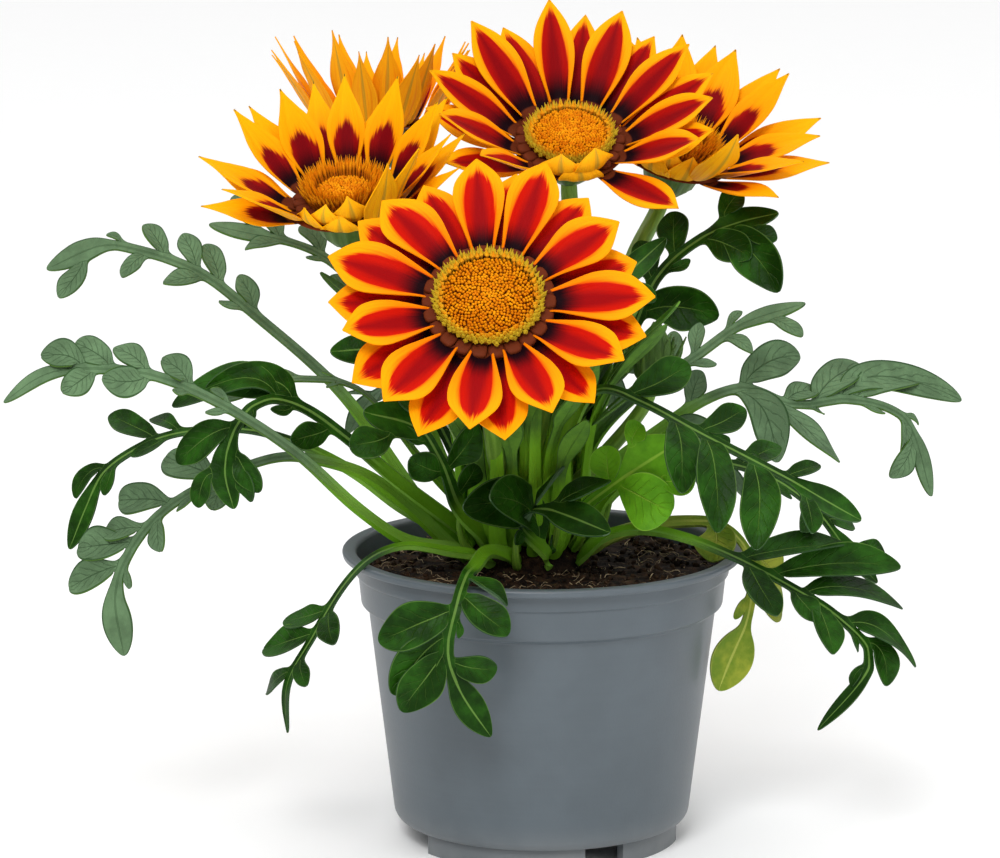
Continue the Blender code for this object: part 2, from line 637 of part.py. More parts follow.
def make_leaf(name, row):
    """One leaf: a strip along the midrib, lobes drawn out of its edges, and a thickness."""
    path, face = leaf_path(row), Vector(row["face"]).normalized()
    plan = lobe_plan(path, face, row["lobes"])
    lobe_edges = {step for step, _, _ in plan} | {step + 1 for step, _, _ in plan}
    total = int(path.length / LOBE_PITCH)
    every = round(PETIOLE_STEP / LOBE_PITCH)
    tail = int(TERMINAL_LENGTH / LOBE_PITCH)
    steps = [step for step in range(total)
             if step in lobe_edges or step % every == 0 or (step > total - tail and step % 2 == 0)]
    bm = bmesh.new()
    strip = {}
    for step in steps:
        distance = step * LOBE_PITCH
        along, across, off = leaf_axes(path, distance, face)
        half = leaf_width(distance, path)
        centre = path.at(distance)
        strip[step] = {1: bm.verts.new(centre + across * half), -1: bm.verts.new(centre - across * half)}
    tip = bm.verts.new(path.at(path.length))
    for first, second in zip(steps, steps[1:]):
        bm.faces.new((strip[first][-1], strip[second][-1], strip[second][1], strip[first][1]))
    bm.faces.new((strip[steps[-1]][-1], tip, strip[steps[-1]][1]))
    for order, (step, side, end) in enumerate(plan):
        if step in strip and step + 1 in strip:
            rise = LOBE_STAGGER * (1 if order % 2 else -1)
            add_lobe(bm, strip, path, face, step, side, end, rise, row.get("plump", 1.0))
    return close_blade(name, bm, LEAF_THICKNESS, LEAF_FINISH.get(name, "leaf_green"))


def add_lobe(bm, strip, path, face, step, side, end, rise, plump):
    """Draws one lobe out of the strip's edge in three steps towards its tip."""
    distance = (step + 0.5) * LOBE_PITCH
    along, across, off = leaf_axes(path, distance, face)
    back, front = strip[step][side], strip[step + 1][side]
    root = (back.co + front.co) / 2
    reach = (end - root).length
    lead = (across * side * LOBE_OUTWARD + along * LOBE_FORWARD).normalized()
    bend = root + lead * reach * 0.4 + off * reach * LOBE_ARCH
    end = end + off * rise
    half = plump * min(max(0.17 * reach + 0.5 * MM, LOBE_HALF_WIDTH_LEAST), LOBE_HALF_WIDTH_MOST)
    for share, width in LOBE_OUTLINE:
        centre = root.lerp(bend, share).lerp(bend.lerp(end, share), share)
        heading = (bend.lerp(end, share) - root.lerp(bend, share)).normalized()
        turn = (off - heading * off.dot(heading)).normalized().cross(heading) * side
        new_back = bm.verts.new(centre - turn * half * width)
        new_front = bm.verts.new(centre + turn * half * width)
        if (new_front.co - front.co).length > (new_front.co - back.co).length:
            new_back.co, new_front.co = new_front.co.copy(), new_back.co.copy()
        add_quad(bm, back, front, new_front, new_back, off)
        back, front = new_back, new_front
    point = bm.verts.new(end)
    add_quad(bm, back, front, point, None, off)


def add_quad(bm, first, second, third, fourth, off):
    """A face with its front towards the blade's upper side."""
    corners = [vert for vert in (first, second, third, fourth) if vert is not None]
    face = bm.faces.new(corners)
    face.normal_update()
    if face.normal.dot(off) < 0:
        face.normal_flip()


def close_blade(name, bm, thickness, material):
    bmesh.ops.recalc_face_normals(bm, faces=bm.faces)
    item = add_mesh(name, bm, material)
    solid = item.modifiers.new("thickness", "SOLIDIFY")
    solid.thickness = thickness
    solid.offset = 0.0
    return item


def facing(direction):
    """A rotation that turns +Z to a direction."""
    return Vector(direction).normalized().to_track_quat("Z", "Y").to_matrix()


def flower_frame(row):
    """Where a flower's ring of petals lies, and the rotation of its parts."""
    return place(*row["foot"]), facing(row["faces"])


def put(bm, origin, turn):
    bmesh.ops.transform(bm, matrix=turn.to_4x4(), verts=bm.verts)
    bmesh.ops.translate(bm, verts=bm.verts, vec=origin)
    return bm


def make_petals(name, row):
    """The ring that carries the petals and the petals round it, in two layers."""
    origin, turn = flower_frame(row)
    bm = bmesh.new()
    count = PETAL_COUNT * 2
    rings = []
    for radius in (PETAL_RING_INNER, PETAL_BASE_RADIUS):
        ring = []
        for index in range(count):
            share = 0.36 if index % 2 else -0.36
            angle = (index // 2 + share) * 2 * math.pi / PETAL_COUNT
            ring.append(bm.verts.new((radius * math.cos(angle), radius * math.sin(angle), 0.0)))
        rings.append(ring)
    for index in range(count):
        after = (index + 1) % count
        bm.faces.new((rings[0][index], rings[1][index], rings[1][after], rings[0][after]))
    length = row["reach"] * MM - PETAL_BASE_RADIUS
    for index in range(PETAL_COUNT):
        lift = math.radians(row["cupped"]) + PETAL_LAYER_SPLIT * (0.5 if index % 2 else -0.5)
        angle = index * 2 * math.pi / PETAL_COUNT
        out = Vector((math.cos(angle), math.sin(angle), 0.0))
        across = Vector((-math.sin(angle), math.cos(angle), 0.0))
        pair = (rings[1][index * 2], rings[1][index * 2 + 1])
        for share, half in PETAL_OUTLINE:
            centre = out * (PETAL_BASE_RADIUS + length * share * math.cos(lift))
            centre.z = length * share * math.sin(lift)
            new = tuple(bm.verts.new(centre + across * side * half) for side in (-1, 1))
            bm.faces.new((pair[0], new[0], new[1], pair[1]))
            pair = new
    put(bm, origin, turn)
    return close_blade(name, bm, PETAL_THICKNESS, "petal_orange")


def make_disc(name, row):
    """The domed disc of florets that lies on the petals' ring."""
    origin, turn = flower_frame(row)
    low = PETAL_THICKNESS / 2 + GAP
    radius = DISC_RADIUS * (1.0 if row["cupped"] < OPEN_FLOWER_LIFT else CLOSED_DISC_SHARE)
    outline = [(0.0, low + DISC_HEIGHT)]
    widest = math.sin(math.radians(DISC_RINGS[-1]))
    for degrees in DISC_RINGS:
        angle = math.radians(degrees)
        outline.append((radius * math.sin(angle) / widest, low + DISC_HEIGHT * math.cos(angle)))
    outline += [(radius, low), (0.0, low)]
    return add_mesh(name, put(turned_bm(outline, DISC_TURNS), origin, turn), "disc_orange")


def make_cup(name, row):
    """The cup of joined bracts under the petals."""
    origin, turn = flower_frame(row)
    top = -(PETAL_THICKNESS / 2 + GAP)
    bottom = top - CUP_HEIGHT
    outline = [(CUP_RADIUS * share, top - depth) for share, depth in CUP_OUTLINE]
    outline = [(0.0, top)] + outline + [(STEM_RADIUS * 1.3, bottom), (0.0, bottom)]
    return add_mesh(name, put(turned_bm(outline, CUP_TURNS), origin, turn), "stem_green")


def make_tube(name, path, radius, material):
    """A round stalk: a curve with a bevel, made a mesh with its caps welded."""
    curve = bpy.data.curves.new(name, "CURVE")
    curve.dimensions = "3D"
    curve.bevel_depth = radius
    curve.bevel_resolution = 2
    curve.use_fill_caps = True
    count = max(3, round(path.length / TUBE_STEP))
    marks = [path.length * index / count for index in range(1, count)]
    marks = [0.0, TUBE_END] + marks + [path.length - TUBE_END, path.length]
    spline = curve.splines.new("POLY")
    spline.points.add(len(marks) - 1)
    for index, mark in enumerate(marks):
        spline.points[index].co = (*path.at(mark), 1.0)
    guide = bpy.data.objects.new(name + "_curve", curve)
    PARTS.objects.link(guide)
    mesh = bpy.data.meshes.new_from_object(guide.evaluated_get(bpy.context.evaluated_depsgraph_get()))
    bm = bmesh.new()
    bm.from_mesh(mesh)
    bmesh.ops.remove_doubles(bm, verts=bm.verts, dist=0.01 * MM)
    bpy.data.objects.remove(guide, do_unlink=True)
    return add_mesh(name, bm, material)


def stem_path(row, end, end_direction):
    start, outward = crown_seat(*row["seat"])
    points = [start, start + outward * 6 * MM] + [place(*spot) for spot in row["stem"]]
    return smooth_route(points + [end], outward, end_direction)


def make_flower(name, row):
    origin, turn = flower_frame(row)
    axis = turn @ Vector((0, 0, 1))
    foot = origin - axis * (CUP_HEIGHT + PETAL_THICKNESS / 2 + 2.8 * GAP)
    make_tube("stem_" + name, stem_path(row, foot, axis), STEM_RADIUS, "stem_green")
    make_cup("cup_" + name, row)
    make_petals("petals_" + name, row)
    make_disc("disc_" + name, row)


def make_bud():
    foot, top = place(*BUD["foot"]), place(*BUD["top"])
    axis = (top - foot).normalized()
    height = (top - foot).length
    outline = [(BUD_RADIUS * share, height * level) for share, level in BUD_OUTLINE]
    outline = [(0.0, height)] + outline + [(STEM_RADIUS, 0.0), (0.0, 0.0)]
    add_mesh("bud", put(turned_bm(outline, BUD_TURNS), foot, facing(axis)), "stem_green")
    make_tube("stem_bud", stem_path(BUD, foot - axis * 1.4 * GAP, axis), STEM_RADIUS * 0.8, "stem_green")


clear_scene()
PARTS = new_collection(OBJECT_NAME)
CUTTERS = new_collection("cutters")
make_pot()
make_soil()
make_crown()
for leaf_name, leaf_row in LEAVES.items():
    make_leaf(leaf_name, leaf_row)
for flower_name, flower_row in FLOWERS.items():
    make_flower(flower_name, flower_row)
make_bud()
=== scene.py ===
"""A potted gazania with its looks: pot, compost, leaves, five flowers, a bud and a stage for them."""

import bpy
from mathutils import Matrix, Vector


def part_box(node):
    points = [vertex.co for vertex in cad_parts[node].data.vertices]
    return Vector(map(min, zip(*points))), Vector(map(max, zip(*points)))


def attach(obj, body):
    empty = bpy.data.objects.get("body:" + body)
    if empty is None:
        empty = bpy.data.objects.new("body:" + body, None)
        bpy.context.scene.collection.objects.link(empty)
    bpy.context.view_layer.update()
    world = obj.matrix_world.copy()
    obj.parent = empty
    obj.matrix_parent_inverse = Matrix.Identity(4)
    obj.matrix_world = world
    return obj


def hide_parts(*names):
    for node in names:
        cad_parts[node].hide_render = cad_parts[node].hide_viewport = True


bl_info = {
    "name": "Potted gazania",
    "version": (1, 0, 0),
    "blender": (4, 5, 0),
    "location": "3D View > Sidebar > Gazania",
    "description": "Models a potted gazania: the pot, its compost, the leaves, the flowers and the bud",
    "category": "Object",
}

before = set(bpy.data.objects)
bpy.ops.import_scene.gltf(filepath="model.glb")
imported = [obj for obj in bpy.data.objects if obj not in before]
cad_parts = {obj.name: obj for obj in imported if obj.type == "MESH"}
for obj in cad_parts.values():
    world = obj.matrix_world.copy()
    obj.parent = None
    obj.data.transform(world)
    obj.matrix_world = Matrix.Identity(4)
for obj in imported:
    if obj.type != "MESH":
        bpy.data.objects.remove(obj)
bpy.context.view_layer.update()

import math
import random

import bmesh
import bpy
from bpy.props import FloatProperty, FloatVectorProperty, IntProperty, PointerProperty
from mathutils import Matrix, Vector, noise
from mathutils.geometry import interpolate_bezier

MM = 0.001
BODY = "root"

# The front view that places are read from: a column and a row in a frame of 1000 by 858, and a depth
# in millimetres behind the pot's axis
VIEW_POINT = Vector((-2.0, -1204.2, 351.0)) * MM
VIEW_PITCH = math.radians(10.69)
VIEW_FOCAL = 4090.0
VIEW_CENTRE = (500.0, 429.0)
VIEW_WIDTH = 1000.0
VIEW_TO_POT = 1200.0 * MM
SENSOR_WIDTH = 36.0
VIEW_CLIP_END = 40.0

# The pot, from its frame
POT_LOW, POT_HIGH = (Vector(corner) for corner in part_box("pot"))
POT_AXIS = Vector(((POT_LOW.x + POT_HIGH.x) / 2, (POT_LOW.y + POT_HIGH.y) / 2, 0.0))
POT_RIM_RADIUS = (POT_HIGH.x - POT_LOW.x) / 2
POT_HEIGHT = POT_HIGH.z
POT_FEET = ((-56.0, 17.5), (36.0, 78.0), (124.0, 197.5), (216.0, 258.0))
POT_FOOT_HEIGHT = 6.5 * MM
POT_DRAINS = 6
POT_DRAIN_START = 33.1
POT_DRAIN_RING = 27.0 * MM
POT_DRAIN_RADIUS = 4.0 * MM
POT_FOOT_RING = (38.6 * MM, 41.5 * MM)
POT_FOOT_EDGE = 0.3 * MM
POT_FLOOR = 1.6 * MM
POT_COLLAR = 71.8 * MM
CORNER_STEPS = 3

SOIL_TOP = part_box("compost")[1][2]
SOIL_RADIUS = 53.6 * MM
SOIL_SINK = 0.6 * MM
CROWN_MIDDLE = POT_AXIS + Vector((-5.0, 0.0, 68.5)) * MM
CROWN_RADIUS = 26.0 * MM
CROWN_LIFT = 0.4 * MM
# How far a stalk runs straight out of the crown, in millimetres
STRAIGHT_START = 6.0
UPRIGHT = Vector((0.0, 0.0, 1.0))

# The leaves
LOBE_PITCH = 2.6 * MM
ROW_PITCH = 1.3 * MM
TERMINAL_LENGTH = 21.0 * MM
# Half the width of a leaf's strip, in millimetres: at the crown, and from that share of its length on
WING_START = 1.8
WING_HALF = 1.6
WING_REACHED = 0.45
BLADE_BASE = 1.0
BLADE_END = 2.9
BLADE_THICKNESS = 1.5 * MM
# Shares of that thickness: how much a leaf thins, from where and over which share; and its lobes'
THINNING = 0.62
THINNING_START = 0.15
THINNING_RUN = 0.35
THICK_STALK = 0.6
LOBE_THICKNESS = 0.30
CHANNEL_DEEP = 0.42
CHANNEL_SHALLOW = 0.22
PETIOLE_SHARE = 0.3
FILLER_START = 0.54
FILLER_PLUMP = 0.8
LOBE_DEPTH_REACH = 14.0 * MM
LOBE_LEAST = 13.0 * MM
LOBE_MOST_HALF = 4.4 * MM
LOBE_LEAST_HALF = 1.2 * MM
LOBE_LEAN = 0.6
# A blade's second coordinate runs from -1 at the crown to 0 at its end, and from 0 to 1 along a lobe;
# the end lobe has the last part of it, and the stalk's colour ends at the next two marks
TERMINAL_UV = 0.25
STALK_END = -0.62
YOUNG_STALK_END = -0.34
STALK_FADE = 0.14
LOBE_FOOT_UV = 0.02
LOBE_ROWS = (0.12, 0.26, 0.42, 0.58, 0.74, 0.88, 0.97, 1.0)
# A lobe's width at shares of its length: a narrow lobe and a round one
LOBE_NARROW = ((0.0, 0.56), (0.12, 0.56), (0.28, 0.76), (0.45, 0.94), (0.62, 1.0), (0.78, 0.88),
               (0.9, 0.58), (0.97, 0.30), (1.0, 0.06))
LOBE_ROUND = ((0.0, 0.40), (0.12, 0.40), (0.28, 0.66), (0.45, 0.90), (0.62, 1.0), (0.78, 0.97),
              (0.9, 0.74), (0.97, 0.42), (1.0, 0.10))
# Where two lobes of a side lie further apart than this, a smaller one grows between them
LOBE_GAP_STEPS = 5

# Each leaf: where it springs from the crown, as a compass angle from +X and a slope from upright;
# which way the side that shows faces; the places its midrib passes, ending at its tip; its lobes'
# tips; and where it differs from the rest, how plump its lobes are and how far they lean forward,
# how wide its stalk is, how wide its end lobe is in millimetres either side, whether its lobes are
# round, and whether the side that shows is its pale underside
LEAVES = {
    "leaf_left_high": dict(
        seat=(168, 34), face=(0.1, -0.75, 0.65), pale=True, end=3.0, plump=1.25,
        route=((428, 508, 2), (345, 395, 12), (262, 320, 18), (200, 272, 22), (140, 250, 24),
               (100, 245, 24), (44, 270, 22)),
        lobes=((58, 297), (145, 222), (182, 232), (122, 277), (163, 282), (205, 243), (238, 275)),
    ),
    "leaf_left_long": dict(
        seat=(212, 46), face=(0.1, -0.75, 0.65), pale=True, end=1.4, plump=1.7, lean=1.1,
        route=((412, 541, -16), (360, 508, -32), (290, 447, -46), (205, 395, -58), (140, 372, -64),
               (50, 372, -70), (0, 405, -72)),
        lobes=((41, 357), (76, 340), (62, 392), (102, 378), (163, 358), (115, 345)),
    ),
    "leaf_left_arch": dict(
        seat=(178, 26), face=(0.2, -0.3, 0.9), pale=True,
        route=((432, 470, 4), (360, 388, -4), (300, 378, -12), (250, 384, -18), (195, 398, -22)),
        lobes=((225, 372), (215, 400)),
    ),
    "leaf_left_dark": dict(
        plump=1.3, end=3.6, lean=0.9, seat=(196, 36), face=(-0.3, -0.75, 0.5),
        route=((395, 478, -16), (350, 440, -24), (300, 405, -34), (262, 400, -42), (236, 426, -48),
               (224, 470, -52), (235, 512, -54)),
        lobes=((173, 405), (176, 462), (197, 508), (248, 502), (260, 493), (290, 440), (205, 390)),
    ),
    "leaf_left_far": dict(
        seat=(160, 46), end=2.8, face=(0.0, -0.5, 0.85),
        route=((402, 505, 12), (360, 474, 18), (300, 443, 24), (240, 428, 28), (160, 437, 30),
               (105, 470, 30), (86, 505, 28), (68, 552, 26)),
        lobes=((108, 414), (73, 497), (103, 495), (130, 455), (150, 415)),
    ),
    "leaf_left_low": dict(
        plump=1.4, end=3.6, rounder=True, seat=(192, 46), face=(-0.15, -0.6, 0.75), pale=True,
        route=((405, 500, -8), (360, 470, -12), (290, 455, -16), (250, 464, -19), (180, 498, -22),
               (140, 535, -24), (115, 590, -26), (125, 660, -26)),
        lobes=((118, 500), (105, 535), (78, 548), (70, 588), (158, 550), (213, 510), (165, 455)),
    ),
    "leaf_rim_left": dict(
        seat=(236, 46), face=(-0.5, -0.35, 0.8), base=0.95, end=0.9, plump=1.2,
        route=((455, 550, -18), (405, 543, -22), (372, 555, -26), (345, 582, -33), (328, 608, -37),
               (310, 640, -40), (286, 685, -42), (287, 735, -42)),
        lobes=((335, 645), (264, 692), (262, 648), (305, 685), (285, 620)),
    ),
    "leaf_rim_front": dict(
        plump=1.5, end=3.8, seat=(262, 46), face=(0.05, -0.85, 0.5), base=1.1,
        route=((490, 548, -26), (475, 565, -40), (467, 574, -54), (457, 604, -67), (448, 652, -68),
               (460, 690, -67), (492, 738, -64)),
        lobes=((378, 640), (508, 603), (509, 634), (393, 696), (402, 712), (497, 668)),
    ),
    "leaf_behind_left_flower": dict(
        seat=(140, 36), face=(0.1, -0.5, 0.85), pale=True, plump=1.3,
        route=((448, 470, 14), (405, 365, 26), (355, 283, 34), (310, 248, 38), (206, 223, 40)),
        lobes=((236, 196), (266, 211), (245, 248), (330, 276), (300, 225)),
    ),
    "leaf_behind_front_flower": dict(
        seat=(152, 24), plump=1.5, end=4.2, face=(-0.4, -0.8, 0.4),
        route=((462, 470, 6), (425, 400, 4), (380, 352, 2), (326, 352, 0)),
        lobes=((356, 320), (360, 372)),
    ),
    "leaf_under_front_flower": dict(
        plump=1.75, seat=(236, 34), face=(-0.1, -0.75, 0.65), base=2.0, end=5.2, rounder=True,
        route=((462, 510, -18), (440, 458, -28), (415, 425, -34), (360, 411, -36)),
        lobes=((350, 445), (412, 462), (480, 428), (478, 466), (400, 398)),
    ),
    "leaf_front_young": dict(
        plump=1.75, end=5.6, rounder=True, seat=(288, 46), face=(0.1, -0.6, 0.8),
        route=((524, 528, -22), (528, 512, -28), (541, 507, -33), (572, 515, -38), (612, 533, -42)),
        lobes=((519, 545), (462, 508), (492, 496), (560, 466), (606, 476), (548, 544)),
    ),
    "leaf_bright_young": dict(
        plump=2.2, end=6.5, rounder=True, seat=(326, 38), face=(0.3, -0.8, 0.5),
        route=((580, 512, -16), (606, 490, -20), (640, 466, -26), (682, 440, -28)),
        lobes=((604, 446), (642, 424), (694, 474), (670, 512)),
    ),
    "leaf_right_dark": dict(
        plump=1.35, end=4.2, seat=(304, 27), face=(0.1, -0.55, 0.8), base=1.2,
        route=((562, 450, -20), (594, 388, -24), (640, 400, -30), (700, 432, -36), (760, 463, -42),
               (825, 498, -48), (865, 522, -50)),
        lobes=((690, 362), (682, 492), (717, 533), (757, 547), (819, 465), (814, 530), (745, 410)),
    ),
    "leaf_right_long": dict(
        seat=(12, 36), end=2.0, plump=1.4, lean=0.9, pale=True, face=(0.1, -0.65, 0.75),
        route=((600, 475, 8), (660, 428, 16), (702, 400, 22), (746, 387, 28), (795, 404, 34),
               (850, 399, 40), (905, 418, 46), (933, 500, 50)),
        lobes=((800, 357), (820, 388), (777, 463), (703, 372), (720, 438), (862, 362), (839, 463),
               (903, 452), (891, 478), (921, 378), (962, 400)),
    ),
    "leaf_right_high": dict(
        plump=1.6, end=4.0, seat=(52, 36), face=(0.2, -0.6, 0.75),
        route=((585, 440, 18), (628, 345, 28), (655, 280, 36), (690, 245, 40), (735, 222, 42),
               (781, 212, 42)),
        lobes=((742, 190), (777, 238), (673, 212), (718, 318), (778, 292), (750, 258), (640, 240)),
    ),
    "leaf_right_upright": dict(
        seat=(30, 28), plump=1.0, end=2.2, face=(0.1, -0.55, 0.8), pale=True,
        route=((592, 440, 6), (640, 392, 10), (694, 357, 14), (745, 322, 18), (808, 302, 20)),
        lobes=((802, 336), (700, 322), (672, 330), (752, 352)),
    ),
    "leaf_rim_right": dict(
        plump=1.4, end=1.3, lean=1.1, seat=(320, 46), face=(0.3, -0.55, 0.8), base=0.85,
        route=((603, 533, -12), (640, 527, -16), (680, 534, -20), (722, 550, -24), (779, 579, -29),
               (842, 619, -34), (871, 660, -36), (816, 732, -36)),
        lobes=((846, 545), (901, 566), (903, 608), (915, 668), (886, 686), (778, 614), (818, 622),
               (835, 652)),
    ),
    "leaf_rim_yellow": dict(
        plump=2.1, end=6.6, rounder=True, seat=(352, 46), face=(0.6, -0.65, 0.45),
        route=((612, 535, -2), (660, 522, -2), (715, 522, -3), (742, 540, -4), (752, 575, -6),
               (748, 620, -10), (718, 694, -14)),
        lobes=((786, 612), (778, 580), (712, 560)),
    ),
    "leaf_right_low": dict(
        seat=(338, 38), plump=1.3, face=(0.2, -0.55, 0.8),
        route=((600, 500, -8), (650, 462, -6), (704, 459, -8), (763, 473, -10), (810, 503, -10),
               (845, 545, -10), (880, 585, -10)),
        lobes=((857, 525), (888, 552), (800, 532), (730, 440), (780, 445)),
    ),
    "leaf_behind_bud": dict(
        seat=(76, 28), plump=1.3, face=(0.3, -0.7, 0.6),
        route=((562, 440, 4), (590, 350, 6), (612, 292, 8), (668, 236, 12)),
        lobes=((656, 300), (592, 250), (640, 330)),
    ),
    "leaf_back_left": dict(
        seat=(124, 46), plump=1.5, face=(-0.1, 0.4, 0.9),
        route=((466, 475, 26), (430, 410, 40), (398, 385, 58), (368, 398, 72), (345, 436, 78)),
        lobes=((345, 390), (388, 372), (372, 452), (402, 425)),
    ),
    "leaf_back_middle": dict(
        seat=(100, 38), plump=1.5, face=(0.0, 0.5, 0.85),
        route=((500, 460, 28), (485, 385, 42), (476, 345, 58), (468, 350, 72), (462, 400, 80)),
        lobes=((440, 352), (510, 355), (436, 385), (500, 392)),
    ),
    "leaf_back_right": dict(
        seat=(66, 46), plump=1.5, face=(0.1, 0.5, 0.85),
        route=((560, 462, 30), (585, 400, 44), (602, 368, 58), (612, 378, 70), (618, 420, 78)),
        lobes=((640, 372), (575, 368), (650, 402), (588, 410)),
    ),
    "leaf_back_low": dict(
        seat=(36, 46), plump=1.5, face=(0.2, 0.3, 0.9),
        route=((600, 505, 22), (645, 470, 34), (690, 455, 46), (725, 465, 56), (748, 500, 62)),
        lobes=((715, 440), (752, 462), (700, 486), (672, 440)),
    ),
}
LEAF_COLOURS = {"leaf_bright_young": "bright", "leaf_rim_yellow": "yellowing"}

# Each flower: where its stem springs from the crown, the place of its disc's foot, which way it
# faces, how far its petals stand up from flat, how long and wide they are, how pointed they are,
# where the dark stripe of a petal ends and how red it is, where the stem passes, how far the petals
# at its sides roll towards the front, and the petals that stand otherwise than the rest, each as its
# compass angle from +X, how far it stands up and how far its outer part hooks over the disc
FLOWERS = {
    "front": dict(seat=(262, 15), foot=(489, 303, -60), faces=(-0.02, -0.74, 0.67), cupped=11.0,
                  reach=46.5, width=9.0, pointed=0.0, stripe=0.9, red=1.0,
                  stem=((500, 470, -14), (490, 400, -26)), rolled=0.0, folded=()),
    "top": dict(seat=(80, 15), foot=(570, 142, 23), faces=(0.02, -0.54, 0.84), cupped=36.0,
                reach=49.5, width=7.8, pointed=0.35, stripe=0.93, red=0.6,
                stem=((545, 420, 8), (572, 260, 24)), rolled=10.0,
                folded=((246, 22, 0), (262, 14, 225), (279, 10, 235), (295, 24, 190), (311, 20, 0))),
    "left": dict(seat=(194, 15), foot=(345, 201, -9), faces=(-0.07, -0.36, 0.93), cupped=52.0,
                 reach=47.0, width=6.9, pointed=1.05, stripe=0.60, red=0.3,
                 stem=((470, 450, -4), (396, 300, -8)), rolled=10.0,
                 folded=((155, 44, 0), (172, 38, 0), (188, 36, 0), (205, 34, 0), (221, 36, 0),
                         (237, 34, 120), (254, 16, 220), (270, 14, 225), (286, 40, 125),
                         (303, 62, 30), (319, 56, 0), (335, 48, 0))),
    "back": dict(seat=(136, 15), foot=(376, 124, 64), faces=(0.0, 0.10, 0.97), cupped=62.0,
                 reach=47.0, width=5.0, pointed=1.25, stripe=0.55, red=0.9,
                 stem=((478, 430, 18), (412, 240, 50)), rolled=0.0, folded=()),
    "right": dict(seat=(24, 15), foot=(676, 153, 60), faces=(0.22, -0.35, 0.9), cupped=50.0,
                  reach=49.0, width=7.6, pointed=0.8, stripe=0.60, red=0.45,
                  stem=((582, 430, 11), (632, 262, 44)), rolled=10.0,
                  folded=((343, 36, 0), (0, 36, 0), (16, 40, 0), (230, 40, 150), (246, 30, 190),
                          (262, 26, 200), (279, 34, 170), (295, 40, 60), (311, 32, 0), (327, 32, 0))),
}
BUD = dict(seat=(340, 15), foot=(652, 388, -4), top=(657, 322, -4),
           stem=((580, 480, -4), (630, 425, -4)))
STEM_RADIUS = 2.8 * MM
CUP_HEIGHT = 13.0 * MM
CUP_RADIUS = 9.0 * MM
CUP_TOP = -1.9 * MM
CUP_BRACTS = 28
DISC_RADIUS = 15.5 * MM
DISC_SHRINK = 0.006
DISC_BASE = 0.5 * MM
DISC_DOME = 2.592 * MM
BRACT_THICKNESS = 0.45 * MM
BUD_RADIUS = 6.0 * MM
BUD_BRACTS = 20
BUD_SPINES = 9
STALK_RIBS = 7.0
STALK_RIB_DEPTH = 0.05
STALK_UV_LENGTH = 20.0 * MM
PETAL_START = 11.5 * MM
PETAL_COUNT = 22
PETAL_STEPS = 14
# A petal's width at shares of its length: a blunt petal and a pointed one
PETAL_BLUNT = ((0.0, 0.34), (0.12, 0.40), (0.22, 0.50), (0.36, 0.70), (0.52, 0.91), (0.65, 1.0),
               (0.77, 0.92), (0.87, 0.65), (0.95, 0.29), (1.0, 0.02))
PETAL_POINTED = ((0.0, 0.36), (0.12, 0.44), (0.22, 0.58), (0.36, 0.84), (0.47, 1.0), (0.57, 0.98),
                 (0.70, 0.74), (0.82, 0.42), (0.93, 0.14), (1.0, 0.02))
PETAL_BOWL = ((0.0, 0.25), (0.2, 0.85), (0.45, 0.60), (0.75, 0.30), (1.0, 0.5))
PETAL_THICKNESS = 0.35 * MM
CLAW_REACH = 2.2 * MM
CLAW_SQUARENESS = 0.6
CLAW_HALF_LENGTH = 2.35 * MM
CLAW_HALF_HEIGHT = 1.0 * MM
CLAW_SHARE_OF_RING = 0.485
CLAW_UV = (0.0, 0.1)
PLATE_OUTLINE = [(2.0 * MM, -0.7 * MM), (16.6 * MM, -0.5 * MM), (17.0 * MM, -1.0 * MM),
                 (12.0 * MM, -1.8 * MM), (2.0 * MM, -1.9 * MM)]
HOOKED_LEAST = 100
HOOKED_LENGTH = 0.52
OPEN_FLOWER_LIFT = 40.0
GOLDEN_ANGLE = math.pi * (3.0 - math.sqrt(5.0))


# Shader values

class Value:
    """A shader socket that takes part in Python sums, each of which adds a Math node."""

    def __init__(self, look, socket):
        self.look = look
        self.socket = socket

    def math(self, operation, *others):
        return self.look.node("ShaderNodeMath", dict(operation=operation), (self, *others))

    def __add__(self, other):
        return self.math("ADD", other)

    def __sub__(self, other):
        return self.math("SUBTRACT", other)

    def __mul__(self, other):
        return self.math("MULTIPLY", other)

    def __rsub__(self, other):
        return self.math("MULTIPLY_ADD", -1.0, other)

    __radd__ = __add__
    __rmul__ = __mul__

    def rise(self, low, high):
        """0 below low and 1 above high, or the other way round if low is the larger."""
        settings = dict(interpolation_type="SMOOTHSTEP")
        inputs = (self, min(low, high), max(low, high), float(low > high), float(low < high))
        return self.look.node("ShaderNodeMapRange", settings, inputs)


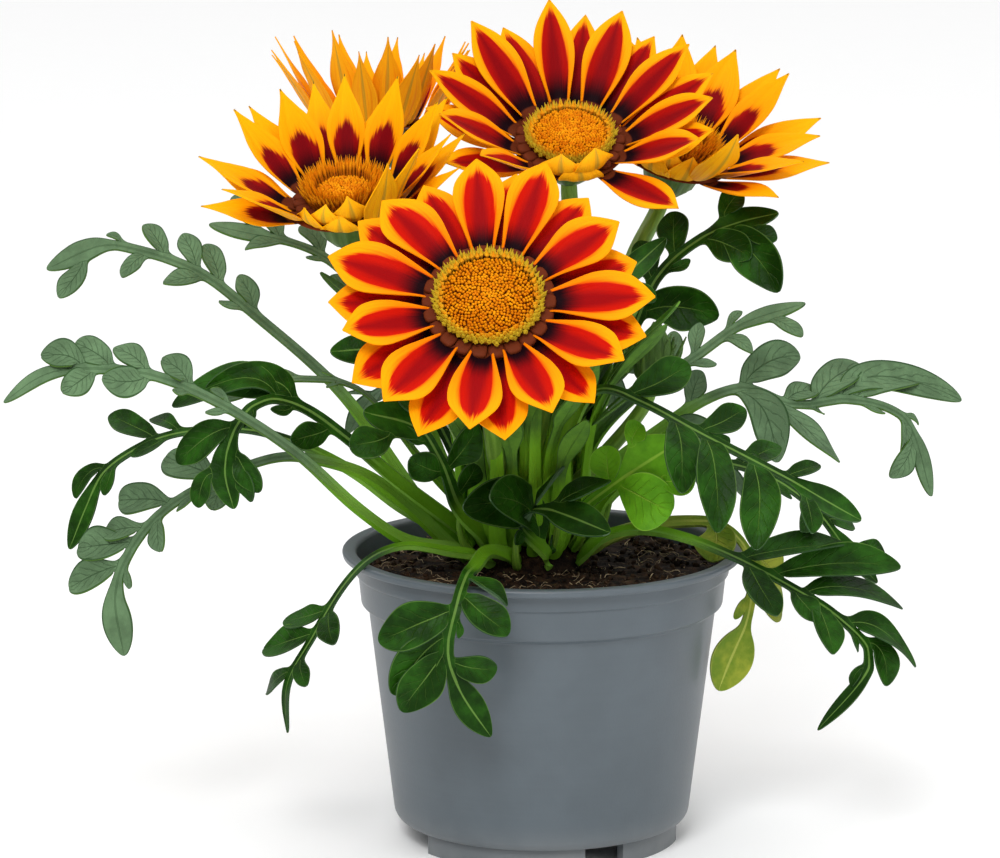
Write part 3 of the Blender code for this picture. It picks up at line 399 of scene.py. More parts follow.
class Look:
    """One material: its shader and the nodes that colour it."""

    def __init__(self, name, **constants):
        self.material = bpy.data.materials.new(name)
        self.material.use_nodes = True
        self.tree = self.material.node_tree
        self.shader = self.tree.nodes["Principled BSDF"]
        for socket, value in constants.items():
            self.shader.inputs[socket.replace("_", " ")].default_value = value

    def node(self, kind, settings, inputs=(), output=0):
        """Adds a node: its settings, then numbers or links for its sockets, in order or by name."""
        made = self.tree.nodes.new(kind)
        for name, value in settings.items():
            setattr(made, name, value)
        pairs = inputs.items() if isinstance(inputs, dict) else enumerate(inputs)
        for key, value in pairs:
            self.feed(made.inputs[key], value)
        return Value(self, made.outputs[output])

    def feed(self, socket, value):
        if isinstance(value, Value):
            self.tree.links.new(value.socket, socket)
        elif isinstance(value, tuple) and len(value) == 3 and socket.type == "RGBA":
            socket.default_value = (*value, 1.0)
        else:
            socket.default_value = value

    def place(self):
        """Where a point lies on the object, in metres."""
        return self.node("ShaderNodeTexCoord", {}, output="Object")

    def parts(self, vector):
        """A vector's three numbers."""
        split = self.node("ShaderNodeSeparateXYZ", {}, (vector,))
        return [Value(self, output) for output in split.socket.node.outputs]

    def across_and_along(self):
        """A sheet's own two coordinates, from its UV map."""
        return self.parts(self.node("ShaderNodeUVMap", dict(uv_map="UVMap")))[:2]

    def vector(self, x, y, z=0.0):
        return self.node("ShaderNodeCombineXYZ", {}, (x, y, z))

    def noise(self, vector, scale, detail=3.0, roughness=0.55):
        inputs = {"Vector": vector, "Scale": scale, "Detail": detail, "Roughness": roughness}
        return self.node("ShaderNodeTexNoise", {}, inputs)

    def mix(self, first, second, share):
        """From one colour to another."""
        settings = dict(data_type="RGBA")
        return self.node("ShaderNodeMix", settings, {0: share, 6: first, 7: second}, 2)

    def bump(self, height, strength, distance):
        inputs = {"Strength": strength, "Distance": distance, "Height": height}
        self.feed(self.shader.inputs["Normal"], self.node("ShaderNodeBump", {}, inputs))

    def finish(self, colour=None, roughness=None):
        if colour is not None:
            self.feed(self.shader.inputs["Base Color"], colour)
        if roughness is not None:
            self.feed(self.shader.inputs["Roughness"], roughness)
        return self.material


def once(make):
    """Makes each named material only once."""
    def made(name, *settings):
        return bpy.data.materials.get(name) or make(name, *settings)
    return made


@once
def pot_plastic(name, colour):
    """Moulded grey plastic: satin, faintly mottled, with fine rubbed lines round it."""
    look = Look(name, IOR=1.46)
    spot = look.place()
    side, _, height = look.parts(spot)
    mottle = look.noise(spot, 55.0, 4.0)
    grain = look.noise(spot, 1400.0, 2.0)
    rubbed = look.noise(look.vector(side * 30.0, height * 900.0), 1.0, 2.0)
    dark = tuple(part * 0.90 for part in colour)
    light = tuple(part * 1.10 for part in colour)
    base = look.mix(dark, light, mottle.rise(0.3, 0.7) * 0.6 + rubbed * 0.3)
    dust = (0.42, 0.40, 0.37)
    dusty = look.mix(base, dust, height.rise(0.016, 0.0) * mottle * 0.35)
    look.bump(grain * 0.6 + rubbed * 0.4, 0.12, 0.0004)
    return look.finish(dusty, mottle * 0.12 + grain * 0.08 + 0.30)


@once
def peat(name, pale):
    """Damp compost: nearly black with brown crumbs and pale specks."""
    look = Look(name, Specular_IOR_Level=0.15)
    spot = look.place()
    lumps = look.noise(spot, 260.0, 5.0)
    specks = look.noise(spot, 900.0, 2.0)
    black, brown = (0.006, 0.003, 0.002), (0.050, 0.026, 0.012)
    base = look.mix(black, brown, lumps.rise(0.38, 0.72))
    flecked = look.mix(base, pale, specks.rise(0.66, 0.74) * 0.5)
    look.bump(lumps + specks * 0.4, 0.9, 0.002)
    return look.finish(flecked, 0.95 - lumps * 0.15)


@once
def fibre(name):
    """A dry root fibre, from brown to straw."""
    look = Look(name)
    brown, straw = (0.12, 0.075, 0.035), (0.48, 0.37, 0.22)
    tone = look.noise(look.place(), 180.0)
    return look.finish(look.mix(brown, straw, tone.rise(0.35, 0.65)), tone * 0.2 + 0.7)


def blade_marks(look, scales, rib_growth, veins):
    """What a leaf's two sides share: noises, how far a point lies off the midrib, and side veins."""
    across, along = look.across_and_along()
    out = across.math("ABSOLUTE")
    lobe = along.rise(0.0, 0.02)
    spot = look.place()
    mottle, blotch, fine = (look.noise(spot, *scale) for scale in zip(scales, (4.0, 3.0, 2.0)))
    rib = out - (along.rise(-0.19, -0.28) * 0.16 + (1.0 - along) * rib_growth)
    count, lean, wander, width, edge = veins
    wave = (along * count - out * lean + blotch * wander).math("FRACT")
    side = (wave - 0.5).math("ABSOLUTE").rise(width, 0.0) * out.rise(edge, 0.5) * lobe
    return out, along, lobe, mottle, blotch, fine, rib, side


def with_stalk(look, blade, stalk, light, mottle, along, stalk_end):
    """The blade's colour, and the stalk's nearer the crown."""
    stalk_colour = look.mix(stalk, light, mottle * 0.4)
    return look.mix(blade, stalk_colour, along.rise(stalk_end, stalk_end - STALK_FADE))


@once
def leaf_upper(name, dark, light, vein, stalk, stalk_end):
    """A leaf's upper side: lighter mottled patches, partly its own tone and partly painted highlight, a fine
    pale midrib, faint side veins and a fine pale edge.
    """
    look = Look(name, Specular_IOR_Level=0.08)
    out, along, lobe, mottle, blotch, cells, rib, side = blade_marks(
        look, (70.0, 300.0, 1500.0), 0.050, (6.5, 1.9, 0.7, 0.10, 0.9))
    midrib = rib.rise(0.025, -0.025) * along.rise(0.98, 0.75)
    # The lighter colour that the mottle mixes in is partly the leaf's own tone and partly painted highlight
    base = look.mix(dark, light, (mottle * 0.7 + blotch * 0.3).rise(0.40, 0.66))
    veined = look.mix(base, vein, side * 0.10)
    ribbed = look.mix(veined, vein, midrib * 0.65)
    edged = look.mix(ribbed, vein, (out + blotch * 0.04).rise(0.97, 1.0) * 0.45)
    coloured = with_stalk(look, edged, stalk, light, mottle, along, stalk_end)
    look.bump(mottle * 0.8 + blotch * 0.4 + cells * 0.2 - side * 0.5 - midrib * lobe * 0.9, 0.6, 0.0011)
    return look.finish(coloured, mottle * 0.25 + cells * 0.08 + 0.26)


@once
def leaf_under(name, base, light, vein, stalk, stalk_end):
    """A leaf's underside: pale and matt, with a darker midrib, net veins and a dark fine edge."""
    look = Look(name, Specular_IOR_Level=0.08)
    out, along, lobe, mottle, blotch, felt, rib, side = blade_marks(
        look, (90.0, 350.0, 2200.0), 0.045, (5.5, 2.0, 0.8, 0.12, 0.95))
    midrib = rib.rise(0.03, -0.02)
    toned = look.mix(base, light, (mottle * 0.6 + blotch * 0.4).rise(0.36, 0.66))
    veined = look.mix(toned, vein, side * 0.28)
    ribbed = look.mix(veined, vein, midrib * (lobe * 0.30 + 0.35))
    edged = look.mix(ribbed, vein, (out + blotch * 0.05).rise(0.90, 0.98) * 0.9)
    coloured = with_stalk(look, edged, stalk, light, mottle, along, stalk_end)
    look.bump(mottle * 0.7 + blotch * 0.3 + felt * 0.3 + midrib * 0.9 + side * 0.5, 0.6, 0.001)
    return look.finish(coloured, felt * 0.15 + 0.52)


@once
def stem_skin(name, low, high):
    """A fleshy green stem with fine lengthwise ribs and short pale hairs."""
    look = Look(name, Specular_IOR_Level=0.25)
    spot = look.place()
    across, along = look.across_and_along()
    mottle = look.noise(spot, 70.0, 3.0)
    ribs = look.noise(look.vector(across * 14.0, along * 1.5), 1.0, 2.0)
    hairs = look.noise(look.vector(across * 70.0, along * 60.0), 1.0, 1.0).rise(0.64, 0.72)
    base = look.mix(low, high, ribs.rise(0.3, 0.7) * 0.6 + mottle * 0.4)
    hair = (0.45, 0.60, 0.25)
    haired = look.mix(base, hair, hairs * 0.2)
    look.bump(ribs + hairs * 0.4, 0.4, 0.0008)
    return look.finish(haired, mottle * 0.2 + 0.36)


def petal_streaks(look, across, along, spread, stretch, grain, strength, *detail):
    """Streaks that run the length of a petal and differ from one petal to the next."""
    apart = look.noise(look.place(), grain) * strength
    return look.noise(look.vector(across * spread, along * stretch, apart), 1.0, *detail)


@once
def petal_face(name, stripe_end, red, dark_tip):
    """A petal's face: a brown claw, a stripe from near black to red, and orange to yellow edges."""
    look = Look(name, Specular_IOR_Level=0.03)
    across, along = look.across_and_along()
    out = across.math("ABSOLUTE")
    streaks = petal_streaks(look, across, along, 9.0, 1.1, 14.0, 3.0, 4.0, 0.6)
    fine = look.noise(look.vector(across * 34.0, along * 2.6), 1.0, 2.0)
    ragged = (streaks - 0.5) * 0.42 + (fine - 0.5) * 0.10
    half = 0.90 - along * 0.54
    side = out - half + ragged * 0.30
    end = along - stripe_end + out * out * 0.34 + ragged * 0.55
    inside = side.rise(0.045, -0.035) * end.rise(0.02, -0.05)
    glow = side.rise(0.16, -0.02) * end.rise(0.07, -0.05)
    gold = (0.92, 0.36 + 0.09 * (1.0 - red), 0.002)
    orange = (0.88, 0.22 + 0.14 * (1.0 - red), 0.001)
    vermilion, scarlet, crimson = (0.90, 0.10, 0.001), (0.50, 0.006, 0.001), (0.27, 0.002, 0.003)
    wine, black = (0.085, 0.002, 0.006), (0.010, 0.002, 0.004)
    brown, olive = (0.125, 0.024, 0.008), (0.03, 0.05, 0.015)
    yellow = look.mix(orange, gold, (along + (streaks - 0.5) * 0.5).rise(0.35, 0.95))
    rich = look.mix(crimson, scarlet, (along * 0.7 + out * 1.1 + ragged * 0.4).rise(0.50, 0.92))
    stripe = look.mix(rich, wine, (1.0 - red) * 0.75)
    dark = look.mix(stripe, black, (along + ragged * 0.25).rise(0.46, 0.24))
    warmed = look.mix(yellow, vermilion, glow * (0.30 + 0.55 * red))
    striped = look.mix(warmed, dark, inside)
    rooted = look.mix(striped, brown, (along + out * out * 0.04).rise(0.215, 0.195))
    tip = along.rise(0.97, 0.985) * (1.0 - out.rise(0.2, 1.0)) * dark_tip
    look.bump(streaks * 0.7 + fine * 0.5, 0.30, 0.0007)
    return look.finish(look.mix(rooted, olive, tip), fine * 0.15 + 0.40)


@once
def petal_back(name, red):
    """A petal's back: yellow, with an olive stripe along its middle."""
    look = Look(name, Specular_IOR_Level=0.05)
    across, along = look.across_and_along()
    out = across.math("ABSOLUTE")
    streaks = petal_streaks(look, across, along, 12.0, 1.4, 12.0, 2.0, 3.0)
    shift = 0.10 * red
    amber, yellow = (0.84, 0.33 - shift, 0.004), (0.92, 0.47 - shift, 0.005)
    pale_olive, dark_olive = (0.42, 0.30, 0.02), (0.16, 0.19, 0.04)
    base = look.mix(amber, yellow, (streaks + along * 0.3).rise(0.4, 0.8))
    stripe = (out + (streaks - 0.5) * 0.24).rise(0.20, -0.02)
    olive = look.mix(pale_olive, dark_olive, along.rise(0.30, 0.95))
    look.bump(streaks, 0.3, 0.0007)
    return look.finish(look.mix(base, olive, stripe * 0.62), streaks * 0.2 + 0.42)


@once
def floret_skin(name, greening):
    """Florets: brown lower down and between them, partly painted shade, orange tips, and in an open flower a
    greener outer ring.
    """
    look = Look(name, Specular_IOR_Level=0.05)
    outward, upward = look.across_and_along()
    orange, amber, lime = (0.70, 0.21, 0.002), (0.86, 0.36, 0.004), (0.46, 0.40, 0.025)
    rust_and_shade, moss_and_shade = (0.46, 0.13, 0.004), (0.26, 0.20, 0.010)
    tone = look.noise(look.place(), 420.0, 2.0)
    tip = look.mix(orange, amber, tone.rise(0.35, 0.7))
    greened = look.mix(tip, lime, outward.rise(0.84, 0.95) * greening)
    # The darker colour low on the florets and on the dome between them is partly painted shade
    base = look.mix(rust_and_shade, moss_and_shade, outward.rise(0.8, 0.95) * greening)
    return look.finish(look.mix(base, greened, upward.rise(0.15, 0.75)), tone * 0.2 + 0.5)


@once
def bract_skin(name, base, light, tip):
    """Green bracts with ribs and darker tips."""
    look = Look(name, Specular_IOR_Level=0.25)
    across, along = look.across_and_along()
    spot = look.place()
    mottle = look.noise(spot, 160.0, 3.0)
    ribs = look.noise(look.vector(across * 30.0, along * 1.6), 1.0, 2.0)
    toned = look.mix(base, light, ribs.rise(0.35, 0.65) * 0.7 + mottle * 0.3)
    look.bump(ribs + mottle * 0.5, 0.5, 0.0008)
    return look.finish(look.mix(toned, tip, along.rise(0.86, 1.0)), mottle * 0.2 + 0.42)


# Places and paths

def view_ray(column, row):
    """The direction from the view point through a place in the picture, one unit long in depth."""
    across = (column - VIEW_CENTRE[0]) / VIEW_FOCAL
    rise = (VIEW_CENTRE[1] - row) / VIEW_FOCAL
    forward = math.cos(VIEW_PITCH) + rise * math.sin(VIEW_PITCH)
    upward = rise * math.cos(VIEW_PITCH) - math.sin(VIEW_PITCH)
    return Vector((across / forward, 1.0, upward / forward))


def place(column, row, depth):
    """The point at that depth which shows at that place in the picture."""
    return VIEW_POINT + view_ray(column, row) * (VIEW_TO_POT + depth * MM)


def picture(point):
    """Where a point shows in the picture."""
    away = point - VIEW_POINT
    depth = away.y * math.cos(VIEW_PITCH) - away.z * math.sin(VIEW_PITCH)
    height = away.y * math.sin(VIEW_PITCH) + away.z * math.cos(VIEW_PITCH)
    return Vector((VIEW_CENTRE[0] + VIEW_FOCAL * away.x / depth,
                   VIEW_CENTRE[1] - VIEW_FOCAL * height / depth))


class Path:
    """A smooth line, read by the distance along it."""

    def __init__(self, dense):
        self.dense = dense
        self.marks = [0.0]
        for first, second in zip(dense, dense[1:]):
            self.marks.append(self.marks[-1] + (second - first).length)
        self.length = self.marks[-1]

    def at(self, distance):
        distance = min(max(distance, 0.0), self.length)
        for index in range(1, len(self.marks)):
            if self.marks[index] >= distance:
                share = (distance - self.marks[index - 1]) / (self.marks[index] - self.marks[index - 1])
                return self.dense[index - 1].lerp(self.dense[index], share)
        return self.dense[-1]

    def heading(self, distance):
        reach = 1.5 * MM
        return (self.at(distance + reach) - self.at(distance - reach)).normalized()

    def nearest_in_picture(self, spot):
        """How far along its lobed part the line shows nearest to a place in the picture."""
        lobed = [index for index, mark in enumerate(self.marks) if mark > PETIOLE_SHARE * self.length]
        best = min(lobed, key=lambda index: (picture(self.dense[index]) - spot).length)
        return self.marks[best]


def smooth_route(points, first_direction, last_direction=None):
    """A smooth path through the given points, leaving and arriving in the given directions."""
    count = len(points)
    slopes = []
    for index in range(count):
        if index == 0:
            slopes.append(first_direction * (points[1] - points[0]).length)
        elif index == count - 1:
            last = points[index] - points[index - 1]
            slopes.append(last_direction * last.length if last_direction else last * 0.8)
        else:
            before, after = points[index] - points[index - 1], points[index + 1] - points[index]
            lead = (before.normalized() + after.normalized()).normalized()
            slopes.append(lead * min(before.length, after.length) * 1.1)
    dense = []
    for index in range(count - 1):
        start, end = points[index], points[index + 1]
        bend = interpolate_bezier(start, start + slopes[index] / 3, end - slopes[index + 1] / 3, end, 24)
        dense += [Vector(point) for point in bend[:-1]]
    dense.append(points[-1])
    return Path(dense)


def crown_seat(compass, slope):
    """A point just off the crown, and the crown's outward direction there."""
    compass, slope = math.radians(compass), math.radians(slope)
    level = math.sin(slope)
    outward = Vector((level * math.cos(compass), level * math.sin(compass), math.cos(slope)))
    return CROWN_MIDDLE + outward * (CROWN_RADIUS + CROWN_LIFT), outward


def eased(share, points):
    """A smooth curve through (share, value) points."""
    for (low, first), (high, second) in zip(points, points[1:]):
        if share <= high:
            part = (share - low) / (high - low)
            part = part * 0.5 + part * part * (3.0 - 2.0 * part) * 0.5
            return first + (second - first) * part
    return points[-1][1]


def around(angle):
    """The level direction at an angle from +X."""
    return Vector((math.cos(angle), math.sin(angle), 0.0))


def facing(direction):
    """A rotation that turns +Z to a direction."""
    return Vector(direction).normalized().to_track_quat("Z", "Y").to_matrix()


# Modelling by hand in edit mode

def deselect_all():
    if bpy.context.object and bpy.context.object.mode != "OBJECT":
        bpy.ops.object.mode_set(mode="OBJECT")
    bpy.ops.object.select_all(action="DESELECT")


def select_only(piece):
    deselect_all()
    piece.select_set(True)
    bpy.context.view_layer.objects.active = piece


def open_in_edit_mode(piece):
    """Opens a piece in edit mode with nothing selected and returns its mesh."""
    select_only(piece)
    bpy.ops.object.mode_set(mode="EDIT")
    bpy.ops.mesh.select_all(action="DESELECT")
    return bmesh.from_edit_mesh(piece.data)


def face_outwards():
    """Turns the faces of the mesh in edit mode outwards."""
    bpy.ops.mesh.select_all(action="SELECT")
    bpy.ops.mesh.normals_make_consistent(inside=False)


def apply_modifier(piece, kind, **settings):
    """Adds a modifier, sets it and applies it."""
    select_only(piece)
    modifier = piece.modifiers.new(kind.lower(), kind)
    for name, value in settings.items():
        setattr(modifier, name, value)
    bpy.ops.object.modifier_apply(modifier=modifier.name)


def rounded(piece, levels):
    apply_modifier(piece, "SUBSURF", levels=levels, render_levels=levels)


def join(pieces, name):
    """Joins pieces into the first of them."""
    deselect_all()
    for piece in pieces:
        piece.select_set(True)
    bpy.context.view_layer.objects.active = pieces[0]
    bpy.ops.object.join()
    pieces[0].name = name
    pieces[0].data.name = name
    return pieces[0]


def settle(piece, slot, *nodes, angle=50.0):
    """Shades a finished piece, seats it on the body and hides the parts it stands for."""
    select_only(piece)
    bpy.ops.object.shade_smooth_by_angle(angle=math.radians(angle))
    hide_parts(*nodes)
    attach(piece, BODY)
    return piece


class Sheet:
    """A surface drawn out row by row in edit mode: a strip of two faces' width, or a tube."""

    def __init__(self, name, columns, closed=False):
        deselect_all()
        self.closed = closed
        if closed:
            bpy.ops.mesh.primitive_circle_add(vertices=columns, radius=1.0, fill_type="NOTHING")
        else:
            bpy.ops.mesh.primitive_grid_add(x_subdivisions=columns - 1, y_subdivisions=1, size=2.0)
        self.piece = bpy.context.object
        self.piece.name = name
        self.piece.data.name = name
        self.piece.vertex_groups.new(name="body")
        bpy.ops.object.mode_set(mode="EDIT")
        self.bm = bmesh.from_edit_mesh(self.piece.data)
        self.uv = self.bm.loops.layers.uv.verify()
        self.weight = self.bm.verts.layers.deform.verify()
        if closed:
            self.first = sorted(self.bm.verts, key=lambda vert: math.atan2(vert.co.y, vert.co.x) % math.tau)
        else:
            ordered = sorted(self.bm.verts, key=lambda vert: (round(vert.co.y), vert.co.x))
            self.first, self.second = ordered[:columns], ordered[columns:]

    def settle_row(self, row, places, thickness):
        for vert, spot in zip(row, places):
            vert.co = spot
            vert[self.weight][0] = thickness

    def write_uv(self, old, new, old_uv, new_uv):
        """Writes the coordinates of the faces between two rows."""
        last = len(old)
        for index in range(last if self.closed else last - 1):
            after = (index + 1) % last
            edge = self.bm.edges.get((new[index], new[after]))
            face = next(face for face in edge.link_faces if old[index] in face.verts)
            turn = 1.0 if self.closed and after == 0 else 0.0
            spots = {
                old[index]: old_uv[index], new[index]: new_uv[index],
                old[after]: (old_uv[after][0] + turn, old_uv[after][1]),
                new[after]: (new_uv[after][0] + turn, new_uv[after][1]),
            }
            for loop in face.loops:
                loop[self.uv].uv = spots[loop.vert]

    def pick(self, row):
        """Selects only the edges between a row's vertices."""
        bpy.ops.mesh.select_all(action="DESELECT")
        pairs = list(zip(row, row[1:])) + ([(row[-1], row[0])] if self.closed else [])
        for pair in pairs:
            self.bm.edges.get(pair).select_set(True)

    def draw(self, row, places, thickness, old_uv, new_uv, pick=False):
        """Extrudes a row's edges to new places and returns the new row."""
        if pick:
            self.pick(row)
        step = places[0] - row[0].co
        bpy.ops.mesh.extrude_edges_move(TRANSFORM_OT_translate={"value": step})
        new = [next(edge.other_vert(vert) for edge in vert.link_edges if edge.other_vert(vert).select)
               for vert in row]
        self.settle_row(new, places, thickness)
        self.write_uv(row, new, old_uv, new_uv)
        return new

    def close(self, row):
        """Fills the ring of a tube's end."""
        self.pick(row)
        bpy.ops.mesh.edge_face_add()

    def done(self):
        self.bm.select_flush_mode()
        bmesh.update_edit_mesh(self.piece.data)
        bpy.ops.object.mode_set(mode="OBJECT")
        return self.piece


def tube(name, rings, start_closed=True, end_closed=True):
    """A tube drawn ring by ring; each ring is its places and their two coordinates."""
    places, uv = rings[0]
    sheet = Sheet(name, len(places), closed=True)
    row = sheet.first
    sheet.settle_row(row, places, 1.0)
    for order, (places, new_uv) in enumerate(rings[1:]):
        row = sheet.draw(row, places, 1.0, uv, new_uv, pick=order == 0)
        uv = new_uv
    if start_closed:
        sheet.close(sheet.first)
    if end_closed:
        sheet.close(row)
    face_outwards()
    return sheet.done()


def turned(name, outline, turns, ridge=None, start_closed=True, end_closed=True):
    """A surface turned about +Z, ring by ring; ridge(angle, share) scales the radius."""
    rings = []
    for index, (radius, height) in enumerate(outline):
        share = index / (len(outline) - 1)
        places = []
        for turn in range(turns):
            angle = math.tau * turn / turns
            reach = radius * (ridge(angle, share) if ridge else 1.0)
            places.append(Vector((reach * math.cos(angle), reach * math.sin(angle), height)))
        rings.append((places, [(turn / turns, share) for turn in range(turns)]))
    return tube(name, rings, start_closed, end_closed)


def grid(columns, rows):
    """A grid that is shaped later, with each vertex's coordinates: across from -1, along from 0, to 1."""
    deselect_all()
    bpy.ops.mesh.primitive_grid_add(x_subdivisions=columns, y_subdivisions=rows, size=2.0)
    piece = bpy.context.object
    mesh = piece.data
    shares = [(vert.co.x, (vert.co.y + 1.0) / 2.0) for vert in mesh.vertices]
    uv = mesh.uv_layers.active.data
    for loop in mesh.loops:
        uv[loop.index].uv = shares[loop.vertex_index]
    return piece, shares


def paint(piece, spot):
    """Gives a whole piece one place in its two coordinates."""
    for loop in piece.data.uv_layers.active.data:
        loop.uv = spot


def stamp(bm, source, matrix, across=None):
    """Adds a placed copy of a piece's faces; across, where given, is its new first coordinate."""
    part = source.data.copy()
    part.transform(matrix)
    if across is not None:
        for loop in part.uv_layers.active.data:
            loop.uv = (across, loop.uv[1])
    bm.from_mesh(part)
    bpy.data.meshes.remove(part)


def gather(bm, name, spares, material):
    """Makes a piece of the collected faces and removes the shapes they were copied from."""
    mesh = bpy.data.meshes.new(name)
    bm.to_mesh(mesh)
    bm.free()
    piece = bpy.data.objects.new(name, mesh)
    bpy.context.collection.objects.link(piece)
    mesh.materials.append(material)
    for spare in spares:
        bpy.data.objects.remove(spare, do_unlink=True)
    return piece


def ring_of(name, kinds, count, material, start=0.0):
    """A ring of copies about +Z, each kind of shape in turn."""
    bm = bmesh.new()
    for index in range(count):
        turn = Matrix.Rotation(math.tau * (index + start) / count, 4, "Z")
        stamp(bm, kinds[index % len(kinds)], turn)
    return gather(bm, name, kinds, material)


def put(piece, origin, turn=None):
    """Turns and moves a piece's mesh; its object stays at the origin."""
    matrix = Matrix.Translation(origin) @ (turn.to_4x4() if turn else Matrix.Identity(4))
    piece.data.transform(matrix)
    return piece


def arc_corners(points, radius):
    """Rounds the inner corners of an outline with short arcs."""
    result = [points[0]]
    for before, corner, after in zip(points, points[1:], points[2:]):
        corner = Vector(corner)
        to_before, to_after = Vector(before) - corner, Vector(after) - corner
        reach = min(radius, to_before.length * 0.45, to_after.length * 0.45)
        start = corner + to_before.normalized() * reach
        end = corner + to_after.normalized() * reach
        for step in range(CORNER_STEPS + 1):
            share = step / CORNER_STEPS
            result.append(tuple(start.lerp(corner, share).lerp(corner.lerp(end, share), share)))
    return result + [points[-1]]


def stalk(name, path, radius, material, sides=14, spacing=5.0 * MM):
    """A ribbed round stalk along a path, closed at both ends; radius(share) is its radius."""
    count = max(4, round(path.length / spacing))
    side = path.heading(0.0).orthogonal().normalized()
    rings = []
    for step in range(count + 1):
        distance = path.length * step / count
        along = path.heading(distance)
        side = (side - along * side.dot(along)).normalized()
        other = along.cross(side)
        places = []
        for turn in range(sides):
            angle = math.tau * turn / sides
            reach = radius(step / count) * (1.0 + STALK_RIB_DEPTH * math.cos(angle * STALK_RIBS))
            places.append(path.at(distance) + (side * math.cos(angle) + other * math.sin(angle)) * reach)
        rings.append((places, [(turn / sides, distance / STALK_UV_LENGTH) for turn in range(sides)]))
    piece = tube(name, rings)
    piece.data.materials.append(material)
    rounded(piece, 1)
    return piece


# The leaves

def leaf_axes(path, distance, face):
    """The way along the midrib, across the blade and off its upper side."""
    along = path.heading(distance)
    off = (face - along * face.dot(along)).normalized()
    return along, off.cross(along), off


def lobe_tip(spot, origin, off):
    """The point on the blade's plane which shows at a place in the picture."""
    ray = view_ray(*spot)
    across = ray.dot(off)
    middle = origin.y - VIEW_POINT.y
    reach = (origin - VIEW_POINT).dot(off) / across if abs(across) > 0.15 else middle
    return VIEW_POINT + ray * min(max(reach, middle - LOBE_DEPTH_REACH), middle + LOBE_DEPTH_REACH)


def lobe_plan(path, face, tips, lean, plump):
    """For each lobe: the step of the strip it springs from, its side, its tip and its plumpness."""
    plan = []
    taken = set()
    first = int(PETIOLE_SHARE * path.length / LOBE_PITCH)
    last = int((path.length - TERMINAL_LENGTH * 0.5) / LOBE_PITCH)
    for spot in tips:
        foot = path.nearest_in_picture(Vector(spot))
        _, across, off = leaf_axes(path, foot, face)
        tip = lobe_tip(spot, path.at(foot), off)
        reach = (tip - path.at(foot)).length
        back = max(lean * reach, math.sqrt(max(0.0, LOBE_LEAST ** 2 - reach ** 2)))
        root = min(foot - back, last * LOBE_PITCH)
        side = 1 if (tip - path.at(foot)).dot(across) > 0 else -1
        step = max(first, round(root / LOBE_PITCH))
        while (step, side) in taken or (step + 1, side) in taken or (step - 1, side) in taken:
            step -= 1
        taken.add((step, side))
        plan.append((step, side, tip, plump))
    return sorted(plan, key=lambda entry: entry[0])


def strip_width(distance, path, base, end):
    """Half the width of the blade's middle strip: a stalk, then a narrow wing, then the end lobe."""
    left = path.length - distance
    share = min(1.0, distance / (WING_REACHED * path.length))
    wing = (WING_START * base + (WING_HALF - WING_START * base) * share) * MM
    if left < TERMINAL_LENGTH:
        part = 1.0 - left / TERMINAL_LENGTH
        return wing * (1.0 - part) + end * MM * math.sin(math.pi * min(1.0, part * 0.97 + 0.02)) ** 0.8
    return wing


def leaf_path(row):
    """A leaf's midrib, from the crown to its tip."""
    start, outward = crown_seat(*row["seat"])
    route = [place(*spot) for spot in row["route"]]
    return smooth_route([start, start + outward * STRAIGHT_START * MM] + route, outward)


def strip_row(path, distance, face, row, thickness):
    """The strip's three places at a distance: one edge, the channelled middle and the other edge."""
    _, across, off = leaf_axes(path, distance, face)
    half = strip_width(distance, path, row.get("base", BLADE_BASE), row.get("end", BLADE_END))
    centre = path.at(distance)
    channel = half * (CHANNEL_DEEP if thickness > THICK_STALK else CHANNEL_SHALLOW)
    return [centre + across * half, centre - off * channel, centre - across * half]


def sheet_row(along):
    """The two coordinates of a strip's three places at a distance along it."""
    return [(side, along) for side in (-1.0, 0.0, 1.0)]


def make_leaf(name, row, upper, under, luck):
    """One leaf: a strip drawn along the midrib, lobes drawn out of its edges, and a thickness."""
    path, face = leaf_path(row), Vector(row["face"]).normalized()
    plan = lobe_plan(path, face, row["lobes"], row.get("lean", LOBE_LEAN), row.get("plump", 1.0))
    plan = fill_gaps(plan, path, face, luck)
    materials = (under, upper) if row.get("pale") else (upper, under)
    return draw_blade(name, path, face, plan, row, materials, luck)


